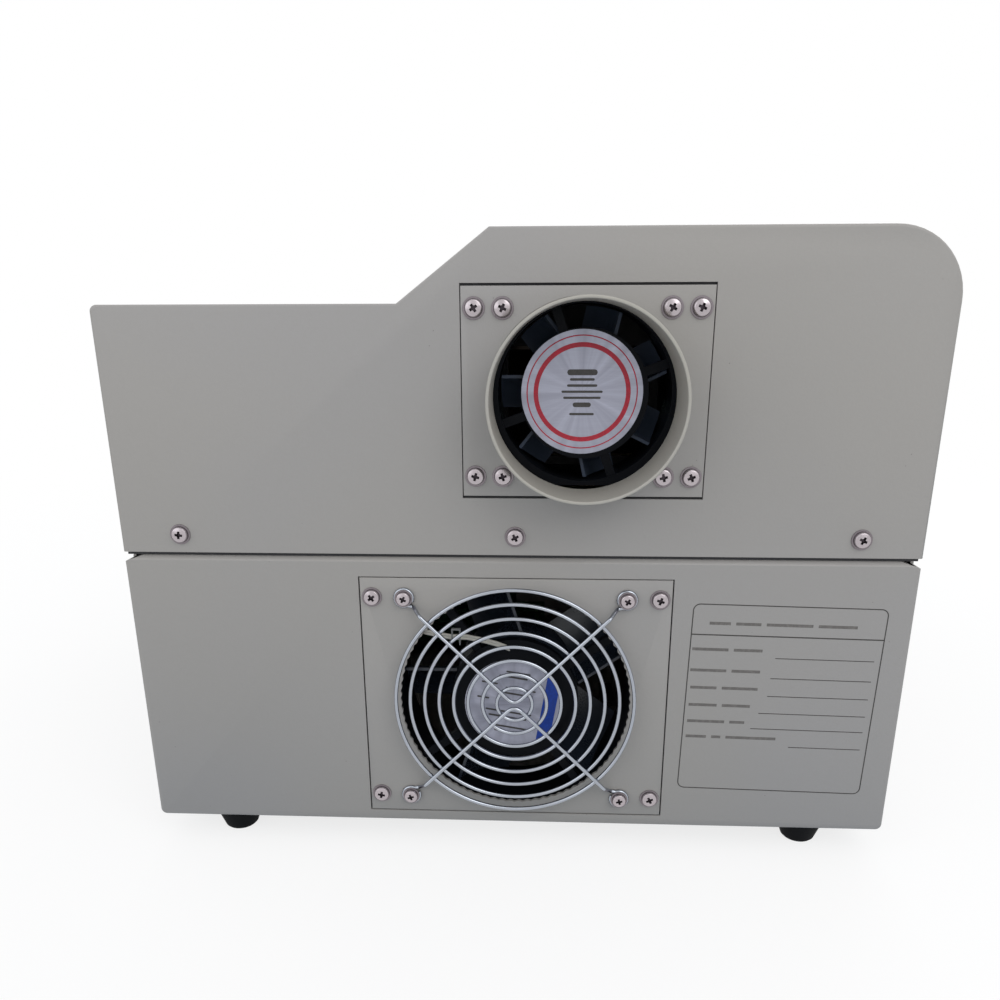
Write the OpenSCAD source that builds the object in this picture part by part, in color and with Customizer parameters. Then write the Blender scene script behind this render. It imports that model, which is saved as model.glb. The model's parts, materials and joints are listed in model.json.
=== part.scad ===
// Drawer-type infrared reflow oven with a stepped casing, an extraction fan and a cooling fan.
// Front with the drawer is at -Y, the fans are at the rear at +Y, and the feet stand on z = 0.

/* [Casing] */
// Width of the casing
body_w = 370; // [350:1:450]
// Depth of the casing without the collar and the handle
body_d = 430; // [355:1:520]
// Height of the lower casing
base_h = 140; // [138:1:170]
// Height of the upper casing on its low side
cover_low_h = 110; // [106:1:135]
// How much higher the high side of the upper casing is
step_h = 30; // [20:1:40]
// Share of the width that the high side takes
high_share = 0.53; // [0.5:0.01:0.62]
// Width of the slope between the two sides
slope_w = 40; // [20:1:60]
// Radius of the rounded top corner
corner_r = 30; // [5:1:40]
// Thickness of the casing sheet
sheet = 1.5; // [1:0.1:2]
// Height of the dark gap between the two casings
seam = 1.5; // [1:0.1:2.5]

/* [Feet] */
// Height of a foot below the lower casing
foot_h = 14; // [8:1:20]
// Diameter of a foot at its top
foot_d = 25; // [22:1:32]
// Distance of a foot's axis from the casing's side
foot_inset_x = 36; // [20:1:60]
// Distance of a foot's axis from the casing's front or rear
foot_inset_y = 17; // [16:1:60]

/* [Extraction fan] */
// Side of the extraction fan's square frame
ex_size = 80; // [80:1:80]
// Thickness of the extraction fan
ex_depth = 25; // [20:1:38]
// Distance between the extraction fan's screws
ex_pitch = 71.5; // [71:0.1:72]
// Sideways place of the fan's axis
ex_x = -30.2; // [-70:0.1:-20]
// Height of the fan's axis above the upper casing's lower edge
ex_rise = 72.3; // [66:0.1:80]
// Length of the round collar outside the casing
collar_len = 28; // [25:1:40]
// Thickness of the collar's wall
collar_wall = 1.4; // [1:0.1:2]

/* [Cooling fan] */
// Side of the cooling fan's square frame
co_size = 120; // [120:1:120]
// Thickness of the cooling fan
co_depth = 38; // [25:1:38]
// Distance between the cooling fan's screws
co_pitch = 105; // [104.5:0.1:105.5]
// Height of the fan's axis above the lower casing's underside
co_rise = 68; // [66:0.1:75]
// Number of rings of the wire guard
guard_rings = 8; // [4:1:10]
// Radius of the guard's smallest ring
guard_r0 = 8.5; // [6:0.1:12]
// Radius of the guard's largest ring
guard_r1 = 57.4; // [50:0.1:60]
// Diameter of the guard's wire
guard_wire = 1.9; // [1.2:0.1:2.4]

/* [Chamber] */
// Thickness of the insulation round the chamber
insul = 8; // [5:1:12]
// Depth of the bay behind the chamber
rear_bay = 77.5; // [70:0.5:90]
// Number of infrared tubes
heater_count = 6; // [2:1:8]
// Diameter of an infrared tube
heater_d = 11; // [8:0.5:14]

/* [Drawer] */
// Room on each side of the drawer for a slide
slide_t = 13; // [13:0.5:16]
// Width of the window
window_w = 220; // [120:1:260]
// Height of the window
window_h = 34; // [20:1:40]
// Length of the handle's bar
handle_w = 150; // [100:1:240]
// Number of long rods in the rack
rack_rods = 17; // [9:2:25]

/* [Controls] */
// Width of the control panel
panel_w = 240; // [220:1:280]
// Height of the control panel
panel_h = 76; // [60:1:90]
// Width and height of a key's cap
key_w = 12; // [10:0.5:14]
// Distance between two keys
key_pitch = 20; // [17:0.5:22]

/* [Hidden] */

$fn = 64;
eps = 0.01;

// Colours
beige = [0.76, 0.74, 0.70];
steel = [0.72, 0.73, 0.74];
zinc = [0.62, 0.64, 0.66];
black = [0.09, 0.09, 0.10];
black_steel = [0.14, 0.14, 0.15];
ceramic = [0.92, 0.90, 0.85];
wool = [0.86, 0.82, 0.70];
board_green = [0.10, 0.36, 0.20];

// Levels and half sizes of the casings
half_w = body_w / 2;
half_d = body_d / 2;
in_x = half_w - sheet;
in_y = half_d - sheet;
base_z0 = foot_h;
floor_z = base_z0 + sheet;
base_z1 = base_z0 + base_h;
cover_z0 = base_z1 + seam;
low_z = cover_z0 + cover_low_h;
high_z = low_z + step_h;
slope_x0 = (high_share - 0.5) * body_w;
slope_x1 = slope_x0 + slope_w;
edge_r = 3;
flange_w = 12;
lip_h = 16.5;
lip_start = 20;
foot_taper = 5;
standoff_r = 4;
// Wiring openings in the deck: distance from the side and from the chamber, radius
wire_hole = [60, 22, 14];
// How far the control panel laps over its opening
panel_lap = [10, 8];
// Corner relief of the top flanges: width, height and depth
bevel = [9.5, 3.3, 9];
// Cooling slots: size, place of the first, pitch, columns and rows
vent_slot = [46, 4];
vent_first = [60, 36];
vent_pitch = [62, 10];
vent_grid = [2, 8];
lip_x = in_x - sheet;
lip_y = in_y - sheet;

// Screws: M4 with a rimmed pan head
screw_r = 2;
hole_r = 2.2;
head_r = 4.3;
head_h = 2.6;
head_rim_h = 0.5;
head_rim_w = 0.4;
head_crown = 1.4;
cross_w = 4.8;
cross_t = 0.9;
cross_depth = 1.5;
screw_end = 5;
foot_screw_end = 4;
casing_screw_rise = 8.65;
casing_screw_inset = [28.5, 60];
casing_screw_z = cover_z0 + casing_screw_rise;
casing_screw_x = half_w - casing_screw_inset[0];
casing_screw_y = half_d - casing_screw_inset[1];
nut_h = 3.2;
nut_r = 4;

// Fan plates, cut-outs and brackets
ex_z = cover_z0 + ex_rise;
co_z = base_z0 + co_rise;
ex_cut = [108, 91.6];
co_cut = [148, 125];
ex_plate_gap = [0.4, 1.1];
co_plate_gap = [0.6, 0.5];
ex_outer_pitch = 96;
co_outer_pitch = 135.6;
collar_gap = 0.15;
collar_r = ex_size / 2 + 0.2 + collar_wall;
collar_root_r = collar_r + 0.8;
collar_drop = 1.6;
collar_flange = 1.2;
collar_side = 2 * (collar_root_r + collar_drop) + 1;
plate_back = in_y;
ex_fan_y = plate_back - collar_flange;
co_fan_y = plate_back;
bracket_rim = 9;
bracket_leg = 18;
bracket_foot = 14;
co_bracket_over = 6;
co_bracket_room = 0.6;
duct_clear = 0.5;
duct_lap = 6;
ex_bore_r = ex_size / 2 - 2;
ex_hub_r = 28;
co_bore_r = co_size / 2 - 2.5;
co_hub_r = 31;
fan_flange = 4;
fan_hub_t = 5;
fan_core_step = 6;
fan_core_back = 9;
fan_axle_gap = 0.05;
label_sink = 0.4;
strut_w = 4;
strut_y = [-4.4, -0.9];
rotor_back = 1.5;
rotor_front = 6;
rotor_cup = 2.5;
tip_gap = 0.8;
nibble_r = 56.3;
nibble_t = 0.7;
nibbles = 84;

// Chamber
liner = 1;
air = 1;
panel_screw_l = 2 * sheet + air;
top_air = 2;
ch_x = lip_x - air - insul - liner;
ch_z0 = cover_z0 + insul + liner;
ch_z1 = low_z - sheet - top_air - insul - liner;
ch_y0 = -in_y;
ch_y1 = in_y - rear_bay;
ch_back = ch_y1 + liner + insul;
port_x = ex_size / 2 - 4;
port_z0 = ex_z - ex_size / 2 + 4;
port_z1 = ch_z1 - 6;
heater_z = ch_z1 - 21;
heater_y0 = ch_y0 + 30;
heater_y1 = ch_y1 - 14;
heater_span = 2 * ch_x - 84;
heater_pitch = heater_span / (heater_count - 1);
heater_xs = [for (i = [0 : heater_count - 1]) -heater_span / 2 + i * heater_pitch];
cap_r = heater_d / 2 + 3;
cap_neck_r = heater_d / 2 + 1.2;
cap_l = 16;
cap_lap = 3;
cap_neck_l = 2;
stud_r = 2;
stud_l = 6;
quartz_t = 1.2;
lead_hole_r = 3;
rail_t = 1.2;
rail_drop = 2;
probe_r = 1.5;
probe_x = ch_x - 40;
probe_z = ch_z1 - 36;
probe_in = 70;
probe_tail = 14;
// Radius of the probe's gland and nut, and where each ends behind the chamber
probe_gland = [5, 6];
probe_nut = [3.5, 12];
// Reflector, and its distance from the chamber's sides, front and rear
reflector_t = 0.8;
reflector_drop = 8;
reflector_lip = 4;
reflector_inset = [8, 16, 6];

// Drawer opening, drawer and door
open_x = ch_x - 1.5;
open_z0 = ch_z0 + 1.5;
open_z1 = ch_z1 - 1;
wall = 1.5;
rack_flange = 10;
corner_seam = 0.4; // between the rear wall and the side walls, folded up from one sheet
dr_x = ch_x - slide_t;
dr_z0 = ch_z0 + 11.5;
dr_z1 = ch_z1 - 39;
dr_y0 = -half_d + 11;
dr_y1 = ch_y1 - 12;
door_z1 = open_z1 - 4;
door_gap = 1.5;
door_t = 4.5;
door_lap = 7;
door_y = -half_d - door_gap - door_t;
skin_back = door_y + wall;
window_z = (dr_z0 + door_z1) / 2 + 8;
window_r = 5;
glass_t = 3;
glass_lap = 8;
bezel_w = 9;
bezel_t = 1.6;
pan_r = 3;
seal_w = 4.5;
seal_side = 0.5;
seal_clear = 0.3;
handle_r = 5;
handle_end = 1.2;
handle_z = dr_z0 + 8;
handle_y = -half_d - collar_len + handle_r;
post_x = handle_w / 2 - 12;
post_r = 4;
// Nut behind each post: radius, height, and the stud's length
post_nut = [3.8, 3, 8];
// Wire rack, and its room in the drawer along x and y
rack_rod_r = 1.5;
rack_rim_r = 2;
rack_clear = [4.5, 1.5];

// Slides: three nested channels on each side
slide_z = dr_z0 + 19;
slide_y0 = dr_y0 - 2;
slide_y1 = dr_y1 - 10;
channel_t = 1.2;
fixed_half = 22;
ball_r = 1.35;
ball_room = 2.8;
middle_half = fixed_half - channel_t - ball_room;
inner_half = middle_half - channel_t - ball_room;
// Places of the channels and balls, measured from the chamber's side
fixed_w = 8.5;
middle_xs = [3.4, 10.2];
inner_tip = 5.6;
outer_ball_x = 6;
inner_ball_x = 8.4;
ball_end = 8;
ball_count = 5;

// Controls
panel_t = 2;
panel_z = base_z0 + 0.54 * base_h;
panel_face = -half_d - panel_t;
panel_r = 6;
key_count = 5;
key_margin = 20;
key_x0 = panel_w / 2 - key_margin - (key_count - 1) * key_pitch;
key_gap = 0.3;
key_proud = 2;
key_travel = 1;
key_r = 2;
// Behind each key: how much wider its flange is and where it ends, stem radius and end
key_flange = [2, 1.4];
key_stem = [1.75, 3.4];
switch_side = 6;
switch_h = 3.5;
key_board_h = 30;
key_board_rim = 8;
// Posts of the key board: distance past the last key, height and radius
key_post = [4.5, 10.5, 2.5];
display_x = -panel_w / 2 + 62;
display_w = 84;
display_h = 44;
// Layers of the display: how much wider each one is, and where it ends
display_glass = [4, 1.5];
display_frame = [10, 9];
display_board = [14, 12, 10.6];

// Mains parts on the side wall
inlet_y = half_d - 115;
switch_y = half_d - 70;
mains_z = base_z0 + 45;
// Cut-outs, then flanges as width, height and corner radius
inlet_cut = [27.6, 20.4];
inlet_flange = [48, 22.5, 3];
inlet_depth = 18;
socket_depth = 14;
socket_x = [7.5, 12];
socket_z = [-8.3, 3.8, 8.3];
pin_size = [2, 4];
pin_l = 21;
pin_xs = [-7, 0, 7];
pin_zs = [-1.5, 2.5, -1.5];
switch_cut = [27.2, 21.6];
switch_flange = [31, 25, 2.5];
switch_depth = 20;
switch_well = [22, 15.8, 13];
mains_flange_t = 1.8;
mains_fit = 0.4;
pin_depth = 6;
rocker_tilt = 10;
// Rocker: radius and length of its pin, and radius and place of its hollow
rocker_pin = [1.5, 24.6];
rocker_w = 21.2;
rocker_hollow = [13, 19.5];

// Electronics on the floor of the lower casing
standoff_h = 8;
board_c = [70, -70];
board_size = [170, 100];
board_t = 1.6;
board_hole_in = 6;
// Blocks on the board as width, depth and height, with the first one's place and pitch
processor = [28, 28, 2.5];
relay_size = [16, 20, 16];
relay_c = [38, 24];
relay_pitch = 22;
capacitor = [6, 18];
capacitor_c = [-66, 26];
capacitor_pitch = 16;
plug_size = [12, 8, 9];
plug_c = [-54, -42];
plug_pitch = 20;
// Transformer, heat sink, relay and terminal block
trafo_core = [86, 32, 62];
trafo_coil = [56, 60, 32];
trafo_foot = [104, 3];
sink_size = [90, 100];
sink_plate_t = 6;
fin_h = 28;
fin_t = 2;
fin_pitch = 11;
fins = 9;
ssr_size = [44, 58, 36];
ssr_h = [6, 24];
ssr_stud = [3.6, 6, 26, 48];
terminals = 6;
terminal_pitch = 14;
terminal_size = [84, 22, 20];
terminal_cut = [3.4, 8, 1.2, 12];
trafo_c = [-105, 60];
sink_c = [-105, -70];
terminal_c = [110, 70];

// The two numbers in rising order
function sort2(a, b) = a < b ? [a, b] : [b, a];

// The limits of a stretch round its centre
function about(centre, width) = [centre - width / 2, centre + width / 2];

// A block between given limits on each axis
module span(x, y, z)
    translate([x[0], y[0], z[0]]) cube([x[1] - x[0], y[1] - y[0], z[1] - z[0]]);

// A flat shape drawn in x and z, thick from y0 to y1
module xz_plate(y0, y1)
    translate([0, y1, 0]) rotate([90, 0, 0]) linear_extrude(y1 - y0) children();

// A cylinder along y from y0 to y1
module y_rod(r, y0, y1)
    translate([0, y0, 0]) rotate([-90, 0, 0]) cylinder(h = y1 - y0, r = r);

// A cylinder along x from x0 to x1
module x_rod(r, x0, x1)
    translate([x0, 0, 0]) rotate([0, 90, 0]) cylinder(h = x1 - x0, r = r);

// A flat centred rectangle with rounded corners
module rounded(w, h, r) {
    square([w - 2 * r, h], center = true);
    square([w, h - 2 * r], center = true);
    for (x = [-1, 1], y = [-1, 1])
        translate([x * (w / 2 - r), y * (h / 2 - r)]) circle(r);
}

// The four corners of a centred rectangle
module at_corners(w, h)
    for (x = [-1, 1], z = [-1, 1])
        translate([x * w / 2, 0, z * h / 2]) children();

// The waste outside a quarter round, for an outline's corner that points to +x and +y
module corner_waste(r)
    difference() {
        translate([-r, -r]) square(r + 1);
        translate([-r, -r]) circle(r);
    }

// A screw with its head above z = 0 and its shank below
module pan_screw(length) {
    dome_edge = head_r - head_rim_w;
    dome_r = (dome_edge * dome_edge + head_crown * head_crown) / (2 * head_crown);
    difference() {
        union() {
            cylinder(h = head_rim_h, r = head_r);
            intersection() {
                translate([0, 0, head_h - dome_r]) sphere(dome_r);
                cylinder(h = head_h, r = dome_edge);
            }
            translate([0, 0, -length]) cylinder(h = length + eps, r = screw_r);
        }
        translate([0, 0, head_h - cross_depth]) linear_extrude(head_h) {
            square([cross_w, cross_t], center = true);
            square([cross_t, cross_w], center = true);
        }
    }
}

// The same screw with its head towards +y
module rear_screw(length, turn = 0)
    rotate([-90, 0, 0]) rotate([0, 0, turn]) pan_screw(length);

// The upper casing's outline in x and z, moved inwards
module cover_outline(inset, z0) {
    k = tan(atan2(step_h, slope_w) / 2) * inset;
    w = half_w - inset;
    difference() {
        polygon([
            [w, z0], [w, low_z - inset], [slope_x1 - k, low_z - inset],
            [slope_x0 - k, high_z - inset], [-w, high_z - inset], [-w, z0]
        ]);
        translate([-w, high_z - inset]) mirror([1, 0]) corner_waste(corner_r - inset);
        translate([w, low_z - inset]) corner_waste(edge_r - inset);
    }
}

// Screw holes round the lower edge of the upper casing
module casing_screw_places()
    for (a = [-1, 0, 1]) {
        translate([a * casing_screw_x, half_d, casing_screw_z]) rotate([-90, 0, 0]) children();
        for (s = [-1, 1])
            translate([s * half_w, a * casing_screw_y, casing_screw_z]) rotate([0, s * 90, 0]) children();
    }

module drill(r, depth)
    translate([0, 0, -depth]) cylinder(h = depth + 1, r = r);

module foot_places()
    for (x = [-1, 1], y = [-1, 1])
        translate([x * (half_w - foot_inset_x), y * (half_d - foot_inset_y), 0]) children();

// Lower casing: a tray with turned-in top flanges
module base_casing() color(beige) difference() {
    union() {
        difference() {
            xz_plate(-half_d, half_d) difference() {
                translate([-half_w, base_z0]) square([body_w, base_h]);
                for (s = [0, 1])
                    mirror([s, 0]) translate([half_w, base_z0]) mirror([0, 1]) corner_waste(edge_r);
            }
            xz_plate(-in_y, in_y) difference() {
                translate([-in_x, floor_z]) square([2 * in_x, base_h - 2 * sheet]);
                for (s = [0, 1])
                    mirror([s, 0]) translate([in_x, floor_z]) mirror([0, 1]) corner_waste(edge_r - sheet);
            }
            span([flange_w - half_w, half_w - flange_w], [flange_w - half_d, half_d - flange_w],
                 [base_z1 - 2 * sheet, base_z1 + 1]);
        }
        for (p = board_holes())
            translate([p[0], p[1], floor_z - eps]) cylinder(h = standoff_h + eps, r = standoff_r);
    }
    // Rear cut-out for the cooling fan's plate
    span(about(0, co_cut[0]), [in_y - 1, half_d + 1], about(co_z, co_cut[1]));
    // Front opening behind the control panel
    span(about(0, panel_w - 2 * panel_lap[0]), [-half_d - 1, -in_y + 1],
         about(panel_z, panel_h - 2 * panel_lap[1]));
    // Side openings for the inlet and the switch
    span([in_x - 1, half_w + 1], about(inlet_y, inlet_cut[0]), about(mains_z, inlet_cut[1]));
    span([in_x - 1, half_w + 1], about(switch_y, switch_cut[0]), about(mains_z, switch_cut[1]));
    side_vents();
    foot_places() translate([0, 0, base_z0 - 1]) cylinder(h = sheet + 2, r = screw_r);
    corner_bevels();
}

// Cooling slots in both sides of the lower casing
module side_vents()
    for (s = [-1, 1], col = [0 : vent_grid[0] - 1], row = [0 : vent_grid[1] - 1])
        translate([
            s * (half_w - sheet / 2),
            -half_d + vent_first[0] + vent_slot[0] / 2 + col * vent_pitch[0],
            base_z0 + vent_first[1] + row * vent_pitch[1]
        ])
            rotate([90, 0, 90]) linear_extrude(sheet + 2, center = true)
                rounded(vent_slot[0], vent_slot[1], vent_slot[1] / 2 - eps);

// Relief where the top flanges meet at the corners
module corner_bevels() {
    low = base_z1 - bevel[1];
    for (s = [0, 1], e = [0, 1])
        mirror([s, 0, 0]) mirror([0, e, 0]) xz_plate(half_d - bevel[2], half_d + 1)
            polygon([[half_w - bevel[0], base_z1 + eps], [half_w + 1, base_z1 + eps],
                     [half_w + 1, low - bevel[1] / bevel[0]], [half_w, low]]);
}

// Deck between the casings, with lips that the upper casing is screwed to
module deck_plate() color(black_steel) difference() {
    union() {
        span([-in_x, in_x], [-in_y, in_y], [base_z1, cover_z0]);
        for (s = [-1, 1])
            span(sort2(s * in_x, s * lip_x), [-in_y + lip_start, in_y], [cover_z0 - eps, cover_z0 + lip_h]);
        span([-in_x, in_x], [lip_y, in_y], [cover_z0 - eps, cover_z0 + lip_h]);
    }
    casing_screw_places() drill(screw_r, screw_end);
    // Wiring openings behind the chamber
    for (s = [-1, 1])
        translate([s * (half_w - wire_hole[0]), ch_back + wire_hole[1], base_z1 - 1])
            cylinder(h = seam + 2, r = wire_hole[2]);
}

// Upper casing: a stepped shell, open below
module cover() color(beige) difference() {
    xz_plate(-half_d, half_d) cover_outline(0, cover_z0);
    xz_plate(-in_y, in_y) cover_outline(sheet, cover_z0 - 1);
    span(about(ex_x, ex_cut[0]), [in_y - 1, half_d + 1], about(ex_z, ex_cut[1]));
    span([-open_x, open_x], [-half_d - 1, 1 - in_y], [open_z0, open_z1]);
    casing_screw_places() drill(hole_r, sheet + 1);
}

// Tapered rubber foot with a recess for its screw
module foot(sx, sy) color(black)
    translate([sx * (half_w - foot_inset_x), sy * (half_d - foot_inset_y), 0]) difference() {
        rotate_extrude() polygon([
            [0, 0], [foot_d / 2 - foot_taper, 0], [foot_d / 2 - foot_taper + 1, 1],
            [foot_d / 2, foot_h - 2], [foot_d / 2, foot_h], [0, foot_h]
        ]);
        translate([0, 0, -1]) cylinder(h = foot_h + 2, r = hole_r);
        translate([0, 0, -1]) cylinder(h = foot_h / 2 + 1, r = head_r + 1);
    }

module foot_front_left() foot(-1, -1);
module foot_front_right() foot(1, -1);
module foot_rear_left() foot(-1, 1);
module foot_rear_right() foot(1, 1);

module foot_screws() color(steel)
    foot_places() translate([0, 0, foot_h / 2]) rotate([180, 0, 0])
        pan_screw(foot_h / 2 + sheet + foot_screw_end);

// Short screws in the casing and round both fan plates
module panel_screws() color(steel) {
    casing_screw_places() rotate([0, 0, 25]) pan_screw(panel_screw_l);
    translate([ex_x, half_d, ex_z]) at_corners(ex_outer_pitch, ex_pitch) rear_screw(panel_screw_l, 10);
    translate([0, half_d, co_z]) at_corners(co_outer_pitch, co_pitch) rear_screw(panel_screw_l, 40);
}

// Plate in the upper cut-out
module exhaust_plate() color(beige) difference() {
    translate([ex_x, 0, ex_z]) xz_plate(in_y, half_d)
        square([ex_cut[0] - 2 * ex_plate_gap[0], ex_cut[1] - 2 * ex_plate_gap[1]], center = true);
    translate([ex_x, 0, ex_z]) {
        translate([0, 0, -collar_drop]) y_rod(collar_root_r + collar_gap, in_y - 1, half_d + 1);
        at_corners(ex_pitch, ex_pitch) y_rod(hole_r, in_y - 1, half_d + 1);
        at_corners(ex_outer_pitch, ex_pitch) y_rod(hole_r, in_y - 1, half_d + 1);
    }
}

// Round collar with a thicker root, set a little low on a square flange
// that the plate clamps to the fan
module exhaust_collar() color(beige) translate([ex_x, 0, ex_z]) difference() {
    union() {
        translate([0, 0, -collar_drop]) {
            y_rod(collar_r, ex_fan_y, half_d + collar_len);
            y_rod(collar_root_r, ex_fan_y, half_d);
        }
        xz_plate(ex_fan_y, plate_back) square(collar_side, center = true);
    }
    translate([0, 0, -collar_drop])
        y_rod(collar_r - collar_wall, ex_fan_y - 1, half_d + collar_len + 1);
    at_corners(ex_pitch, ex_pitch) y_rod(hole_r, ex_fan_y - 1, plate_back + 1);
}

// Standing frame behind the upper plate
module exhaust_bracket() color(black_steel) {
    w = ex_cut[0] / 2 + bracket_rim;
    z0 = cover_z0 + lip_h;
    z1 = ex_z + ex_cut[1] / 2 + bracket_rim / 4;
    difference() {
        union() {
            translate([ex_x, 0, 0]) span([-w, w], [lip_y, in_y], [z0, z1]);
            for (s = [-1, 1])
                translate([ex_x, 0, 0]) {
                    side = sort2(s * w, s * (w - sheet));
                    span(side, [lip_y - bracket_leg, lip_y + eps], [z0, z1]);
                    span(side, [lip_y - bracket_leg, lip_y - 1], [cover_z0, z0 + eps]);
                }
        }
        translate([ex_x, 0, ex_z]) {
            xz_plate(lip_y - 1, in_y + 1) square(collar_side + 1, center = true);
            at_corners(ex_outer_pitch, ex_pitch) y_rod(screw_r, lip_y - 1, in_y + 1);
        }
    }
}

// Duct from the chamber's rear wall to the extraction fan
module exhaust_duct() color(black_steel) translate([ex_x, 0, 0]) difference() {
    side = ex_size / 2 + duct_clear + liner;
    duct_z0 = ex_z - side;
    duct_z1 = ex_z + side;
    fan_back = ex_fan_y - ex_depth;
    duct_end = fan_back + duct_lap;
    span([-side, side], [ch_back, duct_end], [duct_z0, duct_z1]);
    span([liner - side, side - liner], [ch_back + liner, duct_end + 1], [duct_z0 + liner, duct_z1 - liner]);
    span([-port_x, port_x], [ch_back - 1, ch_back + 2], [port_z0, port_z1]);
}

// Fan frame with hub, struts and stator; its label side is at y = 0
module fan_frame(size, depth, pitch, bore_r, hub_r, struts, first) {
    back = -depth;
    difference() {
        union() {
            difference() {
                union() {
                    y_rod(size / 2, back, 0);
                    for (y = [back, -fan_flange])
                        xz_plate(y, y + fan_flange) rounded(size, size, fan_flange);
                }
                y_rod(bore_r, back - 1, 1);
                at_corners(pitch, pitch) y_rod(hole_r, back - 1, 1);
            }
            y_rod(hub_r, -fan_hub_t, -label_sink);
            y_rod(hub_r - fan_core_step, back + fan_core_back, -fan_hub_t + eps);
            for (i = [0 : struts - 1])
                rotate([0, first + i * 360 / struts, 0])
                    span([hub_r - 1, bore_r + 0.5], strut_y, about(0, strut_w));
        }
        y_rod(screw_r + fan_axle_gap, back + fan_core_back - 1, -fan_hub_t + 2);
    }
}

// Rotor with a cup-shaped hub and curved blades; its shaft runs in the frame's bore
module fan_rotor(depth, bore_r, hub_r, blades) {
    y0 = rotor_back - depth;
    y1 = -rotor_front;
    difference() {
        y_rod(hub_r, y0, y1);
        y_rod(hub_r - rotor_cup, y0 + rotor_cup, y1 + 1);
    }
    y_rod(screw_r, y0 + rotor_cup - eps, 1 - fan_hub_t);
    intersection() {
        difference() {
            y_rod(bore_r - tip_gap, y0, y1 + 0.5);
            y_rod(hub_r - 0.5, y0 - 1, y1 + 2);
        }
        for (i = [0 : blades - 1])
            rotate([0, i * 360 / blades, 0])
                blade(hub_r - 2, bore_r + 2, y0 + 1, y1);
    }
}

// Blade along x with an arched section that leans by its pitch from y0 to y1
module blade(x0, x1, y0, y1) {
    pitch = 41;
    blade_t = 1.4;
    chord = (y1 - y0) / cos(pitch);
    arch_r = 0.95 * chord;
    half = asin(chord / 2 / arch_r);
    sag = arch_r * cos(half);
    translate([x0, (y0 + y1) / 2 + sag * sin(pitch), -sag * cos(pitch)])
        rotate([0, 90, 0]) rotate([0, 0, pitch + 180 - half])
            rotate_extrude(angle = 2 * half)
                translate([arch_r - blade_t / 2, 0]) square([blade_t, x1 - x0]);
}

module exhaust_fan_frame() color(black) translate([ex_x, ex_fan_y, ex_z])
    fan_frame(ex_size, ex_depth, ex_pitch, ex_bore_r, ex_hub_r, 4, 20);

module exhaust_fan_rotor() color(black) translate([ex_x, ex_fan_y, ex_z])
    fan_rotor(ex_depth, ex_bore_r, ex_hub_r, 7);

module exhaust_fan_screws() color(steel) translate([ex_x, half_d, ex_z])
    at_corners(ex_pitch, ex_pitch) rear_screw(sheet + collar_flange + ex_depth + screw_end, 30);

module cooling_fan_frame() color(black) translate([0, co_fan_y, co_z])
    fan_frame(co_size, co_depth, co_pitch, co_bore_r, co_hub_r, 4, 35);

module cooling_fan_rotor() color(black) translate([0, co_fan_y, co_z])
    fan_rotor(co_depth, co_bore_r, co_hub_r, 5);

// Guard screws sit on the wire loops
module cooling_fan_screws() color(steel) translate([0, half_d + guard_wire, co_z])
    at_corners(co_pitch, co_pitch) rear_screw(guard_wire + sheet + co_depth + screw_end, 15);

// Hexagonal nuts behind both fans
module fan_nuts() color(steel) {
    translate([ex_x, ex_fan_y - ex_depth, ex_z]) at_corners(ex_pitch, ex_pitch) nut();
    translate([0, co_fan_y - co_depth, co_z]) at_corners(co_pitch, co_pitch) nut();
}

module nut() difference() {
    rotate([90, 0, 0]) cylinder(h = nut_h, r = nut_r, $fn = 6);
    y_rod(screw_r, -nut_h - 1, 1);
}

// Plate in the lower cut-out, with the ragged edge of a nibbled hole
module cooling_plate() color(beige) translate([0, 0, co_z]) difference() {
    xz_plate(in_y, half_d) difference() {
        square([co_cut[0] - 2 * co_plate_gap[0], co_cut[1] - 2 * co_plate_gap[1]], center = true);
        polygon([for (i = [0 : 2 * nibbles - 1])
            (nibble_r - nibble_t * (i % 2)) * [cos(i * 180 / nibbles), sin(i * 180 / nibbles)]]);
    }
    at_corners(co_pitch, co_pitch) y_rod(hole_r, in_y - 1, half_d + 1);
    at_corners(co_outer_pitch, co_pitch) y_rod(hole_r, in_y - 1, half_d + 1);
}

// Standing frame behind the lower plate
module cooling_bracket() color(black_steel) difference() {
    w = co_cut[0] / 2 + bracket_rim;
    window = co_size / 2 + co_bracket_room;
    top = min(co_z + co_cut[1] / 2 + co_bracket_over, base_z1 - sheet - 0.5);
    union() {
        span([-w, w], [lip_y, in_y], [floor_z, top]);
        span([-w, w], [lip_y - bracket_foot, lip_y + eps], [floor_z, floor_z + sheet]);
    }
    translate([0, 0, co_z]) {
        xz_plate(lip_y - 1, in_y + 1) square(2 * window, center = true);
        at_corners(co_outer_pitch, co_pitch) y_rod(screw_r, lip_y - 1, in_y + 1);
    }
}

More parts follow.
